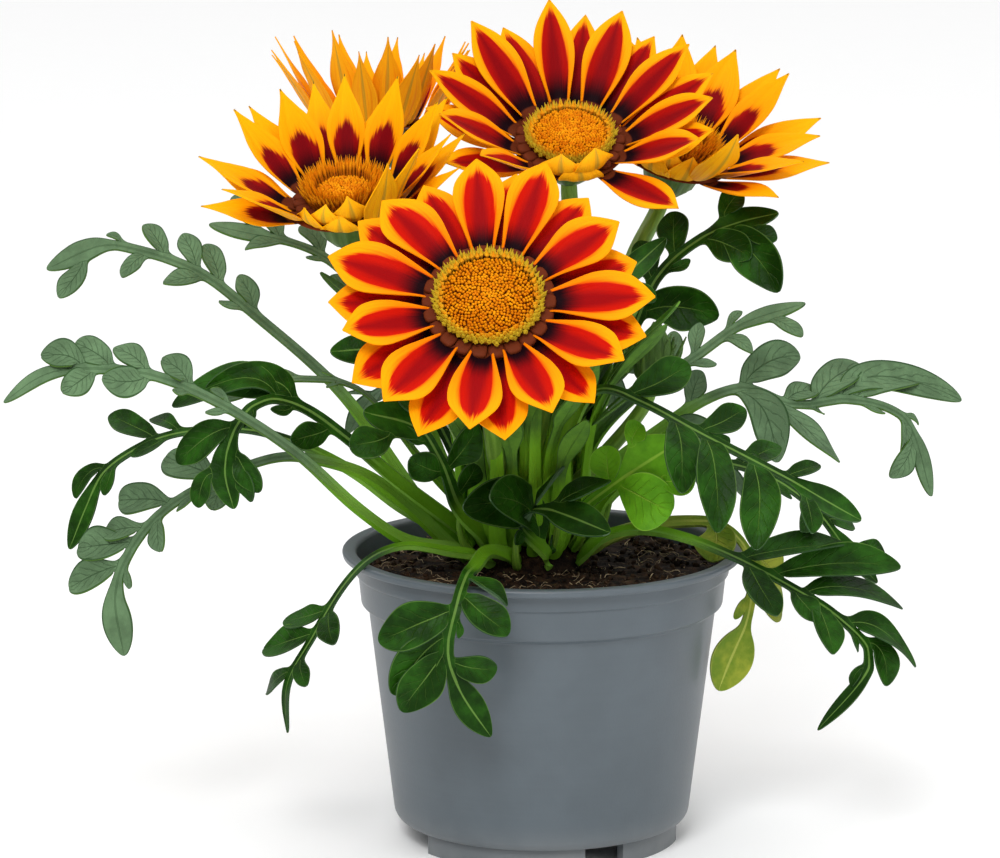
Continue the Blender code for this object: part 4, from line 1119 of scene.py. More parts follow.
def draw_blade(name, path, face, plan, row, materials, luck):
    """The strip along a leaf's midrib with the lobes of its plan, in two materials."""
    needed = {2 * step + extra for step, _, _, _ in plan for extra in (0, 1, 2)}
    total = int(path.length / ROW_PITCH)
    tail = total - int(TERMINAL_LENGTH / ROW_PITCH)
    steps = [step for step in range(total)
             if step in needed or step % 4 == 0 or (step > tail and step % 2 == 0)]
    sheet = Sheet(name, 3)
    rows = {}

    def row_uv(step):
        left = (total - step) * ROW_PITCH
        if left < TERMINAL_LENGTH:
            along = -TERMINAL_UV * left / TERMINAL_LENGTH
        else:
            share = (left - TERMINAL_LENGTH) / (path.length - TERMINAL_LENGTH)
            along = -TERMINAL_UV - (1.0 - TERMINAL_UV) * share
        return sheet_row(along)

    def row_weight(step):
        return 1.0 - THINNING * min(1.0, max(0.0, step / total - THINNING_START) / THINNING_RUN)

    for order, step in enumerate(steps):
        places = strip_row(path, step * ROW_PITCH, face, row, row_weight(step))
        if order == 0:
            rows[step] = sheet.first
            sheet.settle_row(sheet.first, places, row_weight(step))
        elif order == 1:
            rows[step] = sheet.second
            sheet.settle_row(sheet.second, places, row_weight(step))
            sheet.write_uv(sheet.first, sheet.second, row_uv(steps[0]), row_uv(step))
        else:
            before = steps[order - 1]
            rows[step] = sheet.draw(rows[before], places, row_weight(step), row_uv(before), row_uv(step),
                                    pick=order == 2)
    end = path.at(path.length)
    sheet.draw(rows[steps[-1]], [end] * 3, LOBE_THICKNESS, row_uv(steps[-1]), row_uv(total))
    for lobe in plan:
        if 2 * lobe[0] + 2 in rows:
            draw_lobe(sheet, rows, path, face, lobe, row, luck)
    bpy.ops.mesh.select_all(action="SELECT")
    bpy.ops.mesh.remove_doubles(threshold=0.02 * MM)
    piece = sheet.done()
    for material in materials:
        piece.data.materials.append(material)
    rounded(piece, 2)
    apply_modifier(piece, "SOLIDIFY", thickness=BLADE_THICKNESS, offset=-1.0, vertex_group="body",
                   thickness_vertex_group=0.0, material_offset=1, material_offset_rim=1)
    return piece


def fill_gaps(plan, path, face, luck):
    """Adds a smaller lobe wherever a side of the midrib is bare for long."""
    added = []
    first = round(FILLER_START * path.length / LOBE_PITCH)
    last = int((path.length - TERMINAL_LENGTH * 0.9) / LOBE_PITCH)
    for side in (-1, 1):
        marks = [first - 2] + [step for step, at, _, _ in plan if at == side and step > first] + [last + 3]
        for low, high in zip(marks, marks[1:]):
            count = (high - low) // LOBE_GAP_STEPS
            for index in range(1, count):
                step = low + round((high - low) * index / count)
                if first <= step <= last:
                    along, across, off = leaf_axes(path, step * LOBE_PITCH, face)
                    reach = luck.uniform(6.5, 11.5) * MM * min(1.0, 0.4 + step / (1.7 * last))
                    lead = across * side * luck.uniform(0.35, 0.6) + along * luck.uniform(0.8, 1.0)
                    drop = off * luck.uniform(-0.35, 0.1)
                    tip = path.at(step * LOBE_PITCH) + (lead + drop).normalized() * reach
                    added.append((step, side, tip, FILLER_PLUMP))
    return sorted(plan + added, key=lambda entry: entry[0])


def draw_lobe(sheet, rows, path, face, lobe, row, luck):
    """Draws one lobe out of three vertices of the strip's edge, in rows towards its tip."""
    step, side, end, plump = lobe
    profile = LOBE_ROUND if row.get("rounder") else LOBE_NARROW
    column = 0 if side > 0 else 2
    line = [rows[2 * step + extra][column] for extra in (0, 1, 2)]
    along, across, off = leaf_axes(path, (step + 0.5) * LOBE_PITCH, face)
    root = line[1].co.copy()
    reach = (end - root).length
    arch = luck.uniform(0.06, 0.20)
    bend = root + (across * side * 0.75 + along * 0.66).normalized() * reach * 0.42 + off * reach * arch
    end = end + off * luck.uniform(-1.6, 0.8) * MM
    half = plump * min(max(0.19 * reach + 0.5 * MM, LOBE_LEAST_HALF), LOBE_MOST_HALF)
    roll = luck.uniform(-0.55, 0.55)
    fold = luck.uniform(0.12, 0.50)
    wobble = luck.uniform(0.0, math.tau)
    uv = sheet_row(LOBE_FOOT_UV)
    for order, share in enumerate(LOBE_ROWS):
        centre = root.lerp(bend, share).lerp(bend.lerp(end, share), share)
        heading = (bend.lerp(end, share) - root.lerp(bend, share)).normalized()
        normal = (off - heading * off.dot(heading)).normalized()
        normal = Matrix.Rotation(roll * share, 3, heading) @ normal
        turn = normal.cross(heading) * -side
        width = half * eased(share, profile)
        wave = 0.16 * math.sin(share * 7.0 + wobble)
        places = [
            centre - turn * width * (1.0 + wave * 0.5) + normal * width * (fold + wave) * 0.6,
            centre - normal * width * fold * 0.5,
            centre + turn * width * (1.0 - wave * 0.5) + normal * width * (fold - wave) * 0.6,
        ]
        line = sheet.draw(line, places, LOBE_THICKNESS, uv, sheet_row(share), pick=order == 0)
        uv = sheet_row(share)


# The flowers

def flower_frame(row):
    """Where a flower's ring of petals lies, and the rotation of its parts."""
    return place(*row["foot"]), facing(row["faces"])


def petal_spine(row, upper, rise, hook, luck):
    """The line of a petal's middle, out and up from the ring, in the plane of +X and +Z."""
    shortened = HOOKED_LENGTH if hook > HOOKED_LEAST else 1.0
    length = row["reach"] * MM * luck.uniform(0.94, 1.03) * shortened - PETAL_START
    lift = math.radians(rise + luck.uniform(-2.5, 2.5) + (4.0 if upper else -5.0))
    curl = math.radians(luck.uniform(2.0, 24.0))
    spine = [Vector((PETAL_START, 0.0, -0.4 * MM if upper else -2.0 * MM))]
    for step in range(PETAL_STEPS):
        share = (step + 0.5) / PETAL_STEPS
        slope = lift * min(1.0, max(0.0, (share - 0.04) / 0.22)) - curl * max(0.0, share - 0.55) ** 1.5
        slope += math.radians(hook) * max(0.0, share - 0.3)
        spine.append(spine[-1] + Vector((math.cos(slope), 0.0, math.sin(slope))) * (length / PETAL_STEPS))
    return spine


def petal(row, angle, upper, rise, hook, roll, luck):
    """One petal: a grid shaped to a channelled, pointed blade that rises from the ring."""
    piece, shares = grid(6, PETAL_STEPS)
    spine = petal_spine(row, upper, rise, hook, luck)
    width = row["width"] * MM * luck.uniform(0.90, 1.06) * (1.0 if upper else 0.94)
    ruffle, phase = luck.uniform(0.0, 0.10), luck.uniform(0.0, math.tau)
    roll = math.radians(luck.uniform(-5.0, 5.0)) + roll
    sway = luck.uniform(-1.6, 1.6) * MM
    turn = Matrix.Rotation(angle, 3, "Z")
    for vert, (side, share) in zip(piece.data.vertices, shares):
        spot = share * PETAL_STEPS
        index = min(int(spot), PETAL_STEPS - 1)
        centre = spine[index].lerp(spine[index + 1], spot - index)
        ahead = (spine[index + 1] - spine[index]).normalized()
        rolling = Matrix.Rotation(roll * min(1.0, share * 2.5), 3, ahead)
        up = rolling @ Vector((-ahead.z, 0.0, ahead.x))
        right = rolling @ Vector((0.0, -1.0, 0.0))
        blunt, pointed = eased(share, PETAL_BLUNT), eased(share, PETAL_POINTED)
        half = width * max(0.02, blunt + (pointed - blunt) * row["pointed"])
        bowl = eased(share, PETAL_BOWL) * (1.0 if upper else 0.45)
        wave = ruffle * math.sin(share * 9.0 + phase) * side * share
        spread = side * half * (1.0 - 0.20 * bowl * side * side)
        lifted = half * (bowl * abs(side) ** 1.8 * 0.66 + 0.05 * math.cos(side * math.pi * 3.0) + wave)
        vert.co = turn @ (centre + right * (spread + sway * share * share) + up * lifted)
    return piece


def claws(count, radius, material):
    """The rounded brown foot of each petal, in a ring round the disc, and the plate below them."""
    plate = turned("plate", PLATE_OUTLINE, 44)
    plate.data.materials.append(material)
    deselect_all()
    bpy.ops.mesh.primitive_uv_sphere_add(segments=12, ring_count=8, radius=1.0)
    claw = bpy.context.object
    for vert in claw.data.vertices:
        vert.co = [math.copysign(abs(part) ** CLAW_SQUARENESS, part) for part in vert.co]
    half_width = CLAW_SHARE_OF_RING * math.tau * radius / count
    size = Matrix.Diagonal((CLAW_HALF_LENGTH, half_width, CLAW_HALF_HEIGHT, 1.0))
    claw.data.transform(Matrix.Translation((radius, 0.0, 0.7 * MM)) @ size)
    ring = ring_of("claws", [claw], count, material)
    for piece in (plate, ring):
        paint(piece, CLAW_UV)
    return [plate, ring]


def make_petals(name, row, luck):
    """The ring of petals in two layers."""
    origin, turn = flower_frame(row)
    face = petal_face("petal_face_" + name, row["stripe"], row["red"], row["pointed"])
    pieces = []
    for index in range(PETAL_COUNT):
        angle = index * math.tau / PETAL_COUNT
        out = turn @ around(angle)
        compass = math.degrees(math.atan2(out.y, out.x)) % 360.0
        rise, hook = row["cupped"], 0.0
        for at, slope, bend in row["folded"]:
            if min(abs(at - compass), 360.0 - abs(at - compass)) < 180.0 / PETAL_COUNT:
                rise, hook = slope, bend
        roll = math.radians(row["rolled"]) * math.cos(math.radians(compass))
        angle += luck.uniform(-0.06, 0.06)
        pieces.append(petal(row, angle, index % 2 == 0, rise, hook, roll, luck))
    piece = join(pieces, "ray_petals_" + name)
    piece.data.materials.append(face)
    piece.data.materials.append(petal_back("petal_back_" + name, row["red"]))
    rounded(piece, 1)
    apply_modifier(piece, "SOLIDIFY", thickness=PETAL_THICKNESS, offset=-1.0,
                   material_offset=1, material_offset_rim=0)
    piece = join([piece] + claws(PETAL_COUNT, disc_radius(row) + CLAW_REACH, face), piece.name)
    put(piece, origin, turn)
    return settle(piece, "petal", "petals_" + name, angle=60.0)


def floret(radius, height, jag, tip):
    """One floret: a slim five-sided tube that widens to a rounded or pointed top."""
    outline = ((radius * 0.75, 0.0), (radius * 0.8, height * 0.6), (radius * (1.0 + jag), height * 0.85),
               (radius * 0.55, height), (radius * 0.08, height * (1.0 + tip)))
    return turned("floret", outline, 5)


def disc_radius(row):
    """The more a flower is cupped, the younger and smaller its disc."""
    return DISC_RADIUS * (1.0 - DISC_SHRINK * row["cupped"])


def make_disc(name, row, luck):
    """The disc: a low dome with a spiral of florets, taller and greener at its rim."""
    origin, turn = flower_frame(row)
    radius = disc_radius(row)
    outline = [(0.4 * MM, DISC_BASE + DISC_DOME)]
    for angle in (0.3, 0.6, 0.9, 1.2, 1.5):
        outline.append((radius * math.sin(angle), DISC_BASE + DISC_DOME * math.cos(angle)))
    dome = turned("disc_dome", outline + [(radius * 0.99, 0.0)], 40)
    paint(dome, (0.3, 0.0))
    inner = floret(0.47 * MM, 2.0 * MM, 0.1, 0.10)
    if row["cupped"] < OPEN_FLOWER_LIFT:
        skin, count, rim = floret_skin("floret_open", 0.8), 820, 0.86
        outer = floret(0.56 * MM, 3.1 * MM, 0.45, 0.35)
    else:
        skin, count, rim = floret_skin("floret_young", 0.15), 520, 0.72
        outer = floret(0.36 * MM, 5.0 * MM, 0.3, 0.3)
    dome.data.materials.append(skin)
    bm = bmesh.new()
    for index in range(count):
        share = math.sqrt((index + 0.5) / count)
        tilt = share * share * 0.5 + luck.uniform(-0.06, 0.06)
        size = luck.uniform(0.88, 1.12) * (0.85 + 0.35 * share)
        angle = index * GOLDEN_ANGLE + luck.uniform(-0.02, 0.02) / (share + 0.05)
        reach = radius * min(1.0, share * 0.985 + luck.uniform(-0.012, 0.012))
        level = DISC_BASE + DISC_DOME * math.sqrt(max(0.0, 1.0 - share * share)) - 0.2 * MM
        spot = Matrix.Rotation(angle, 4, "Z") @ Matrix.Translation((reach, 0.0, level))
        spot = spot @ Matrix.Rotation(tilt, 4, "Y") @ Matrix.Diagonal((1.0, 1.0, size, 1.0))
        stamp(bm, outer if share > rim else inner, spot, share)
    crowd = gather(bm, "florets", (inner, outer), skin)
    piece = join([dome, crowd], "floret_disc_" + name)
    put(piece, origin, turn)
    return settle(piece, "disc", "disc_" + name)


def make_cup(name, row):
    """The cup of joined bracts under the petals, with two rows of pointed free tips."""
    origin, turn = flower_frame(row)
    top = CUP_TOP
    outline = [(1.0 * MM, top), (CUP_RADIUS * 0.9, top), (CUP_RADIUS, top - 0.8 * MM),
               (CUP_RADIUS, top - 4 * MM), (CUP_RADIUS * 0.86, top - 8 * MM),
               (CUP_RADIUS * 0.5, top - 11.6 * MM), (STEM_RADIUS * 1.15, 0.6 * MM - CUP_HEIGHT)]
    cup = turned("cup", outline, 48, ridge=lambda angle, share: 1.0 + 0.035 * math.cos(angle * 14.0))
    skin = bract_skin("cup_skin", (0.040, 0.090, 0.014), (0.090, 0.170, 0.030), (0.060, 0.090, 0.020))
    cup.data.materials.append(skin)
    reach = CUP_RADIUS * 1.01
    kinds = [bract("inner_tip", reach, top - 1.6 * MM, 6.0 * MM, 1.5 * MM, 74.0, skin),
             bract("outer_tip", reach, top - 3.6 * MM, 7.0 * MM, 1.5 * MM, 62.0, skin)]
    piece = join([cup, ring_of("bract_tips", kinds, CUP_BRACTS, skin)], "bract_cup_" + name)
    put(piece, origin, turn)
    return settle(piece, "bract", "cup_" + name)


def bract(name, radius, height, length, half, slope, material):
    """A small pointed bract that stands on a cup or bud: a grid shaped to a narrow keeled leaf."""
    piece, shares = grid(2, 4)
    piece.name = name
    out, up = math.cos(math.radians(slope)), math.sin(math.radians(slope))
    for vert, (side, share) in zip(piece.data.vertices, shares):
        width = half * (1.0 - share) ** 0.7 * (0.7 + 0.6 * share) + 0.05 * MM
        reach = radius + length * share * out - abs(side) * 0.25 * width
        vert.co = (reach, side * width, height + length * share * up)
    piece.data.materials.append(material)
    apply_modifier(piece, "SOLIDIFY", thickness=BRACT_THICKNESS, offset=0.0)
    return piece


def make_stem(name, row, end, end_direction, radius):
    """A stem from the crown to a flower's cup or to the bud."""
    start, outward = crown_seat(*row["seat"])
    points = [start - outward * 0.2 * MM, start + outward * STRAIGHT_START * MM]
    points += [place(*spot) for spot in row["stem"]] + [end]
    skin = stem_skin("stem_skin", (0.08, 0.19, 0.015), (0.22, 0.40, 0.050))
    path = smooth_route(points, outward, end_direction)
    return stalk(name, path, lambda share: radius * (1.22 - 0.3 * share), skin)


# The pieces, one operator each or for each group of like pieces

class GazaniaPotSettings(bpy.types.PropertyGroup):
    colour: FloatVectorProperty(
        name="Pot colour", description="Base colour of the moulded plastic", subtype="COLOR",
        default=(0.084, 0.105, 0.121), min=0.0, max=1.0)
    wall: FloatProperty(
        name="Wall", description="Thickness of the pot's wall", default=1.2 * MM, unit="LENGTH")
    turns: IntProperty(name="Segments", description="Faces round the pot", default=144)
    lip_rounding: FloatProperty(
        name="Lip rounding", description="Radius of the rim's edges", default=0.7 * MM, unit="LENGTH")


class GazaniaCompostSettings(bpy.types.PropertyGroup):
    crumbs: IntProperty(name="Crumbs", description="Loose crumbs on the compost", default=900)
    fibres: IntProperty(name="Fibres", description="Pale fibres on the compost", default=170)
    roughness: FloatProperty(
        name="Unevenness", description="How far the surface rises and falls", default=1.5 * MM, unit="LENGTH")


class GazaniaLeafSettings(bpy.types.PropertyGroup):
    upper: FloatVectorProperty(
        name="Upper side", description="Darker green of the upper sides", subtype="COLOR",
        default=(0.0060, 0.028, 0.0012), min=0.0, max=1.0)
    under: FloatVectorProperty(
        name="Underside", description="Pale green of the undersides", subtype="COLOR",
        default=(0.082, 0.142, 0.070), min=0.0, max=1.0)
    shoots: IntProperty(name="Shoots", description="Young leaf stalks that crowd the crown", default=16)
    young: IntProperty(name="Young leaves", description="Small leaves without lobes at the crown", default=50)


class GazaniaFlowerSettings(bpy.types.PropertyGroup):
    stem: FloatProperty(
        name="Stem radius", description="Radius of a flower's stem", default=STEM_RADIUS, unit="LENGTH")
    bud: FloatProperty(
        name="Bud radius", description="Widest radius of the closed bud", default=BUD_RADIUS, unit="LENGTH")


class GazaniaStageSettings(bpy.types.PropertyGroup):
    floor: FloatVectorProperty(
        name="Floor colour", description="Colour of the pale floor", subtype="COLOR",
        default=(0.96, 0.96, 0.96), min=0.0, max=1.0)
    key_light: FloatProperty(
        name="Key light", description="Power of the main soft light in watts", default=26.0)
    fill_light: FloatProperty(
        name="Fill light", description="Power of the filling light in watts", default=5.0)
    top_light: FloatProperty(
        name="Top light", description="Power of the wide light above in watts", default=440.0)
    sky: FloatProperty(name="Surround", description="Strength of the even surrounding light", default=0.3)


class OBJECT_OT_gazania_pot(bpy.types.Operator):
    """Models the nursery pot with its lip, collar, feet and drain holes"""
    bl_idname = "object.gazania_pot"
    bl_label = "Pot"

    def execute(self, context):
        chosen = context.scene.gazania_pot
        rim, top = POT_RIM_RADIUS, POT_HEIGHT
        wall = chosen.wall
        low, floor = POT_FOOT_HEIGHT, POT_FOOT_HEIGHT + POT_FLOOR
        outer = [
            (5.0 * MM, low), (38.3 * MM, low), (38.5 * MM, low), (41.5 * MM, low), (42.0 * MM, low),
            (43.6 * MM, low), (44.6 * MM, low + 1.8 * MM), (52.2 * MM, POT_COLLAR - 0.7 * MM),
            (53.6 * MM, POT_COLLAR), (54.3 * MM, POT_COLLAR + 0.6 * MM), (55.2 * MM, 80.9 * MM),
            (56.1 * MM, 81.5 * MM), (56.4 * MM, 85.9 * MM), (rim - 0.3 * MM, 86.2 * MM),
            (rim, top - 0.6 * MM), (rim - 0.6 * MM, top), (56.3 * MM, top - 0.1 * MM),
        ]
        inner = [
            (55.6 * MM, top - 1.0 * MM), (54.9 * MM, 82.6 * MM), (54.3 * MM - wall, POT_COLLAR + 3.0 * MM),
            (52.2 * MM - wall, POT_COLLAR), (44.9 * MM - wall, floor + 3.0 * MM),
            (43.4 * MM - wall, floor + 0.4 * MM), (40.0 * MM, floor), (5.0 * MM, floor),
        ]
        outline = arc_corners(outer + inner, chosen.lip_rounding)
        pot = turned("plastic_pot", outline, chosen.turns, start_closed=False, end_closed=False)
        self.draw_feet(pot)
        self.join_inner_ring(pot)
        pot.data.materials.append(pot_plastic("pot_plastic", tuple(chosen.colour)))
        put(pot, POT_AXIS)
        self.drill(pot)
        settle(pot, "pot", "pot", angle=32.0)
        return {"FINISHED"}

    def draw_feet(self, pot):
        """Draws the feet down out of the ring of faces under the floor."""
        bm = open_in_edit_mode(pot)
        bpy.ops.mesh.select_mode(type="FACE")
        for face in bm.faces:
            centre = face.calc_center_median()
            reach = math.hypot(centre.x, centre.y)
            turn = (math.degrees(math.atan2(centre.y, centre.x)) + 180.0) % 360.0 - 90.0
            low = abs(centre.z - POT_FOOT_HEIGHT) < 0.05 * MM
            under = low and POT_FOOT_RING[0] < reach < POT_FOOT_RING[1]
            if under and any(start < turn < end or start < turn - 360.0 < end for start, end in POT_FEET):
                face.select_set(True)
        bmesh.update_edit_mesh(pot.data)
        for drop in (POT_FOOT_HEIGHT - POT_FOOT_EDGE, POT_FOOT_EDGE):
            bpy.ops.mesh.extrude_region_move(TRANSFORM_OT_translate={"value": (0.0, 0.0, -drop)})
        bpy.ops.mesh.select_mode(type="VERT")
        bpy.ops.object.mode_set(mode="OBJECT")

    def join_inner_ring(self, pot):
        """Closes the floor's thickness round the middle hole."""
        bm = open_in_edit_mode(pot)
        for edge in bm.edges:
            if edge.is_boundary:
                edge.select_set(True)
        bmesh.update_edit_mesh(pot.data)
        bpy.ops.mesh.bridge_edge_loops()
        face_outwards()
        bpy.ops.object.mode_set(mode="OBJECT")

    def drill(self, pot):
        """Cuts the drain holes through the floor."""
        for turn in range(POT_DRAINS):
            angle = math.radians(turn * 360.0 / POT_DRAINS + POT_DRAIN_START)
            spot = POT_AXIS + around(angle) * POT_DRAIN_RING
            spot.z += POT_FOOT_HEIGHT
            deselect_all()
            bpy.ops.mesh.primitive_cylinder_add(
                vertices=32, radius=POT_DRAIN_RADIUS, depth=10.0 * MM, location=spot)
            cutter = bpy.context.object
            apply_modifier(pot, "BOOLEAN", operation="DIFFERENCE", object=cutter)
            bpy.data.objects.remove(cutter, do_unlink=True)


class OBJECT_OT_gazania_compost(bpy.types.Operator):
    """Models the uneven compost with its crumbs and fibres"""
    bl_idname = "object.gazania_compost"
    bl_label = "Compost"

    def execute(self, context):
        chosen = context.scene.gazania_compost
        luck = random.Random(11)
        middle = 0.5 * MM
        rings = 34
        outline = [(middle + (SOIL_RADIUS - middle) * step / rings, SOIL_TOP) for step in range(rings + 1)]
        outline += [(SOIL_RADIUS - 0.2 * MM, 76.0 * MM), (50.2 * MM, 71.0 * MM),
                    (42.9 * MM, 12.0 * MM), (20.0 * MM, 8.5 * MM)]
        bed = turned("bed", outline, 110)
        for vert in bed.data.vertices:
            if vert.co.z > SOIL_TOP - 0.1 * MM:
                vert.co.z = self.surface(vert.co.x, vert.co.y, chosen.roughness)
        bed.data.materials.append(peat("peat", (0.34, 0.25, 0.15)))
        piece = join([bed, self.crumbs(chosen, luck), self.fibres(chosen, luck)], "potting_compost")
        put(piece, POT_AXIS)
        settle(piece, "compost", "compost", angle=70.0)
        return {"FINISHED"}

    def surface(self, x, y, height):
        """The compost's height at a place: broad lumps, fine lumps and a dip at the wall."""
        broad = noise.noise(Vector((x, y, 0.0)) * 60.0)
        fine = noise.noise(Vector((x, y, 5.0)) * 320.0)
        wall = max(0.0, math.hypot(x, y) - 46.0 * MM) * 0.18
        return SOIL_TOP - SOIL_SINK + height * (broad * 0.6 + fine * 0.5) - wall

    def crumbs(self, chosen, luck):
        """Loose crumbs: three lumps, copied, turned and scaled."""
        lumps = []
        for index in range(3):
            deselect_all()
            bpy.ops.mesh.primitive_ico_sphere_add(subdivisions=2, radius=1.0)
            lump = bpy.context.object
            for vert in lump.data.vertices:
                vert.co *= 1.0 + 0.45 * noise.noise(vert.co * 1.6 + Vector((index * 9.0, 0.0, 0.0)))
            lumps.append(lump)
        bm = bmesh.new()
        for _ in range(chosen.crumbs):
            distance = math.sqrt(luck.random()) * (SOIL_RADIUS - 1.5 * MM)
            angle = luck.uniform(0.0, math.tau)
            x, y = distance * math.cos(angle), distance * math.sin(angle)
            size = luck.uniform(0.25, 1.0) ** 2 * 1.25 * MM + 0.2 * MM
            spot = Vector((x, y, self.surface(x, y, chosen.roughness) + size * 0.25))
            angle = luck.uniform(0.0, math.tau)
            turn = Matrix.Rotation(angle, 4, Vector((luck.random(), luck.random(), 1.0)))
            deep, high = size * luck.uniform(0.6, 1.0), size * luck.uniform(0.5, 0.9)
            matrix = Matrix.Translation(spot) @ turn @ Matrix.Diagonal((size, deep, high, 1.0))
            stamp(bm, lumps[luck.randrange(3)], matrix)
        return gather(bm, "crumbs", lumps, peat("crumb", (0.42, 0.30, 0.18)))

    def fibres(self, chosen, luck):
        """Thin bent fibres that lie on the crumbs."""
        bm = bmesh.new()
        for _ in range(chosen.fibres):
            distance = math.sqrt(luck.random()) * (SOIL_RADIUS - 5.0 * MM)
            angle = luck.uniform(0.0, math.tau)
            spot = around(angle) * distance
            lead = luck.uniform(0.0, math.tau)
            thin = luck.uniform(0.05, 0.14) * MM
            rings = []
            for step in range(7):
                spot = spot + around(lead) * luck.uniform(0.6, 1.4) * MM
                lead += luck.uniform(-0.55, 0.55)
                rise = self.surface(spot.x, spot.y, chosen.roughness)
                middle = Vector((spot.x, spot.y, rise + (0.5 + 0.5 * math.sin(step * 1.1)) * MM))
                side = around(lead + math.pi / 2) * thin
                up = UPRIGHT * thin
                corners = (middle + side, middle + up, middle - side, middle - up)
                rings.append([bm.verts.new(corner) for corner in corners])
            for first, second in zip(rings, rings[1:]):
                for index in range(4):
                    after = (index + 1) % 4
                    bm.faces.new((first[index], first[after], second[after], second[index]))
            bm.faces.new(rings[0])
            bm.faces.new(list(reversed(rings[-1])))
        bmesh.ops.recalc_face_normals(bm, faces=bm.faces)
        return gather(bm, "fibres", [], fibre("fibre"))


def leaf_materials(chosen, kind):
    """The upper and under materials of an ordinary, young, bright or yellowing leaf."""
    if kind == "ordinary":
        upper, under = tuple(chosen.upper), tuple(chosen.under)
        # The lighter green is partly painted highlight on the upper side
        lighter_and_highlight = tuple(part * 3.0 + 0.001 for part in upper)
        paler = tuple(part * 1.5 for part in under)
        return (leaf_upper("leaf_upper", upper, lighter_and_highlight, (0.15, 0.28, 0.055), (0.14, 0.34, 0.014), STALK_END),
                leaf_under("leaf_under", under, paler, (0.022, 0.060, 0.018), (0.17, 0.38, 0.022), STALK_END))
    colours = {
        "young": ((0.020, 0.070, 0.003), (0.050, 0.150, 0.008), (0.20, 0.38, 0.06), (0.17, 0.42, 0.012),
                  (0.070, 0.165, 0.025), (0.12, 0.27, 0.03), (0.05, 0.12, 0.02), (0.17, 0.42, 0.012)),
        "bright": ((0.085, 0.27, 0.008), (0.14, 0.40, 0.014), (0.32, 0.55, 0.06), (0.25, 0.42, 0.05),
                   (0.16, 0.36, 0.05), (0.22, 0.44, 0.08), (0.10, 0.26, 0.03), (0.25, 0.42, 0.05)),
        "yellowing": ((0.13, 0.22, 0.018), (0.32, 0.36, 0.04), (0.45, 0.48, 0.10), (0.22, 0.32, 0.05),
                      (0.24, 0.31, 0.07), (0.38, 0.42, 0.12), (0.18, 0.24, 0.04), (0.22, 0.32, 0.05)),
    }[kind]
    end = YOUNG_STALK_END if kind == "young" else STALK_END
    return (leaf_upper("leaf_upper_" + kind, *colours[:4], end),
            leaf_under("leaf_under_" + kind, *colours[4:], end))


class OBJECT_OT_gazania_crown(bpy.types.Operator):
    """Models the crown with the young stalks and leaves that crowd it"""
    bl_idname = "object.gazania_crown"
    bl_label = "Crown"

    def execute(self, context):
        chosen = context.scene.gazania_leaf
        luck = random.Random(5)
        skin = stem_skin("crown_skin", (0.08, 0.20, 0.012), (0.24, 0.44, 0.045))
        flat = SOIL_TOP - CROWN_MIDDLE.z
        lowest = math.acos(flat / CROWN_RADIUS)
        outline = [(0.4 * MM, CROWN_RADIUS)] + [
            (CROWN_RADIUS * math.sin(lowest * step / 10), CROWN_RADIUS * math.cos(lowest * step / 10))
            for step in range(1, 11)]
        mound = turned("mound", outline + [(2.0 * MM, flat - 1.0 * MM)], 60,
                       ridge=lambda angle, share: 0.985 + 0.03 * math.sin(angle * 11.0 + share * 5.0))
        put(mound, CROWN_MIDDLE)
        # The mound takes the nearly black compost colour as painted shade at the base of the stalks
        mound.data.materials.append(peat("crown_stock", (0.20, 0.22, 0.08)))
        shoots = [mound]
        for index in range(chosen.shoots):
            compass = index * math.degrees(GOLDEN_ANGLE)
            start, outward = crown_seat(compass, 6.0 + 42.0 * math.sqrt(index / chosen.shoots))
            rise = luck.uniform(10.0, 20.0) * MM
            lean = Vector((outward.x, outward.y, 0.0)) * luck.uniform(0.1, 0.7)
            points = [start - outward * 1.0 * MM, start + outward * STRAIGHT_START * MM,
                      start + (UPRIGHT + lean) * rise]
            radius = self.taper(luck.uniform(1.2, 2.1) * MM)
            path = smooth_route(points, outward)
            shoots.append(stalk("shoot", path, radius, skin, sides=8, spacing=9.0 * MM))
        materials = leaf_materials(chosen, "young")
        for index in range(chosen.young):
            compass = index * math.degrees(GOLDEN_ANGLE) + 40.0
            slope = 4.0 + 34.0 * math.sqrt(index / chosen.young)
            shoots.append(self.young_leaf(compass, slope, materials, luck))
        piece = join(shoots, "leafy_crown")
        settle(piece, "crown", "crown")
        return {"FINISHED"}

    def taper(self, radius):
        """A stalk's radius by the share of its length, from its full radius to a thin end."""
        return lambda share: radius * (1.0 - 0.6 * share)

    def young_leaf(self, compass, slope, materials, luck):
        """A young leaf without lobes, on a long stalk and broadest near its tip."""
        start, outward = crown_seat(compass, slope)
        rise = luck.uniform(44.0, 82.0) * MM
        level = Vector((outward.x, outward.y, 0.0)).normalized()
        lean = level * luck.uniform(0.08, 0.40)
        points = [start, start + outward * STRAIGHT_START * MM, start + (UPRIGHT + lean * 0.7) * rise * 0.6,
                  start + (UPRIGHT + lean * 1.6) * rise]
        path = smooth_route(points, outward)
        aside = Vector((luck.uniform(-0.3, 0.3), luck.uniform(-0.3, 0.3), 0.0))
        face = (UPRIGHT * 0.5 - level + aside).normalized()
        row = dict(base=luck.uniform(0.8, 1.3), end=luck.uniform(2.6, 4.4))
        return draw_blade("young_leaf", path, face, [], row, materials, luck)


class OBJECT_OT_gazania_leaves(bpy.types.Operator):
    """Models every lobed leaf along its midrib"""
    bl_idname = "object.gazania_leaves"
    bl_label = "Leaves"

    def execute(self, context):
        chosen = context.scene.gazania_leaf
        slots = {"bright": "leaf_bright", "yellowing": "leaf_yellowing"}
        for index, (name, row) in enumerate(LEAVES.items()):
            kind = LEAF_COLOURS.get(name, "ordinary")
            upper, under = leaf_materials(chosen, kind)
            piece = make_leaf(name + "_blade", row, upper, under, random.Random(100 + index))
            settle(piece, slots.get(kind, "leaf"), name)
        return {"FINISHED"}


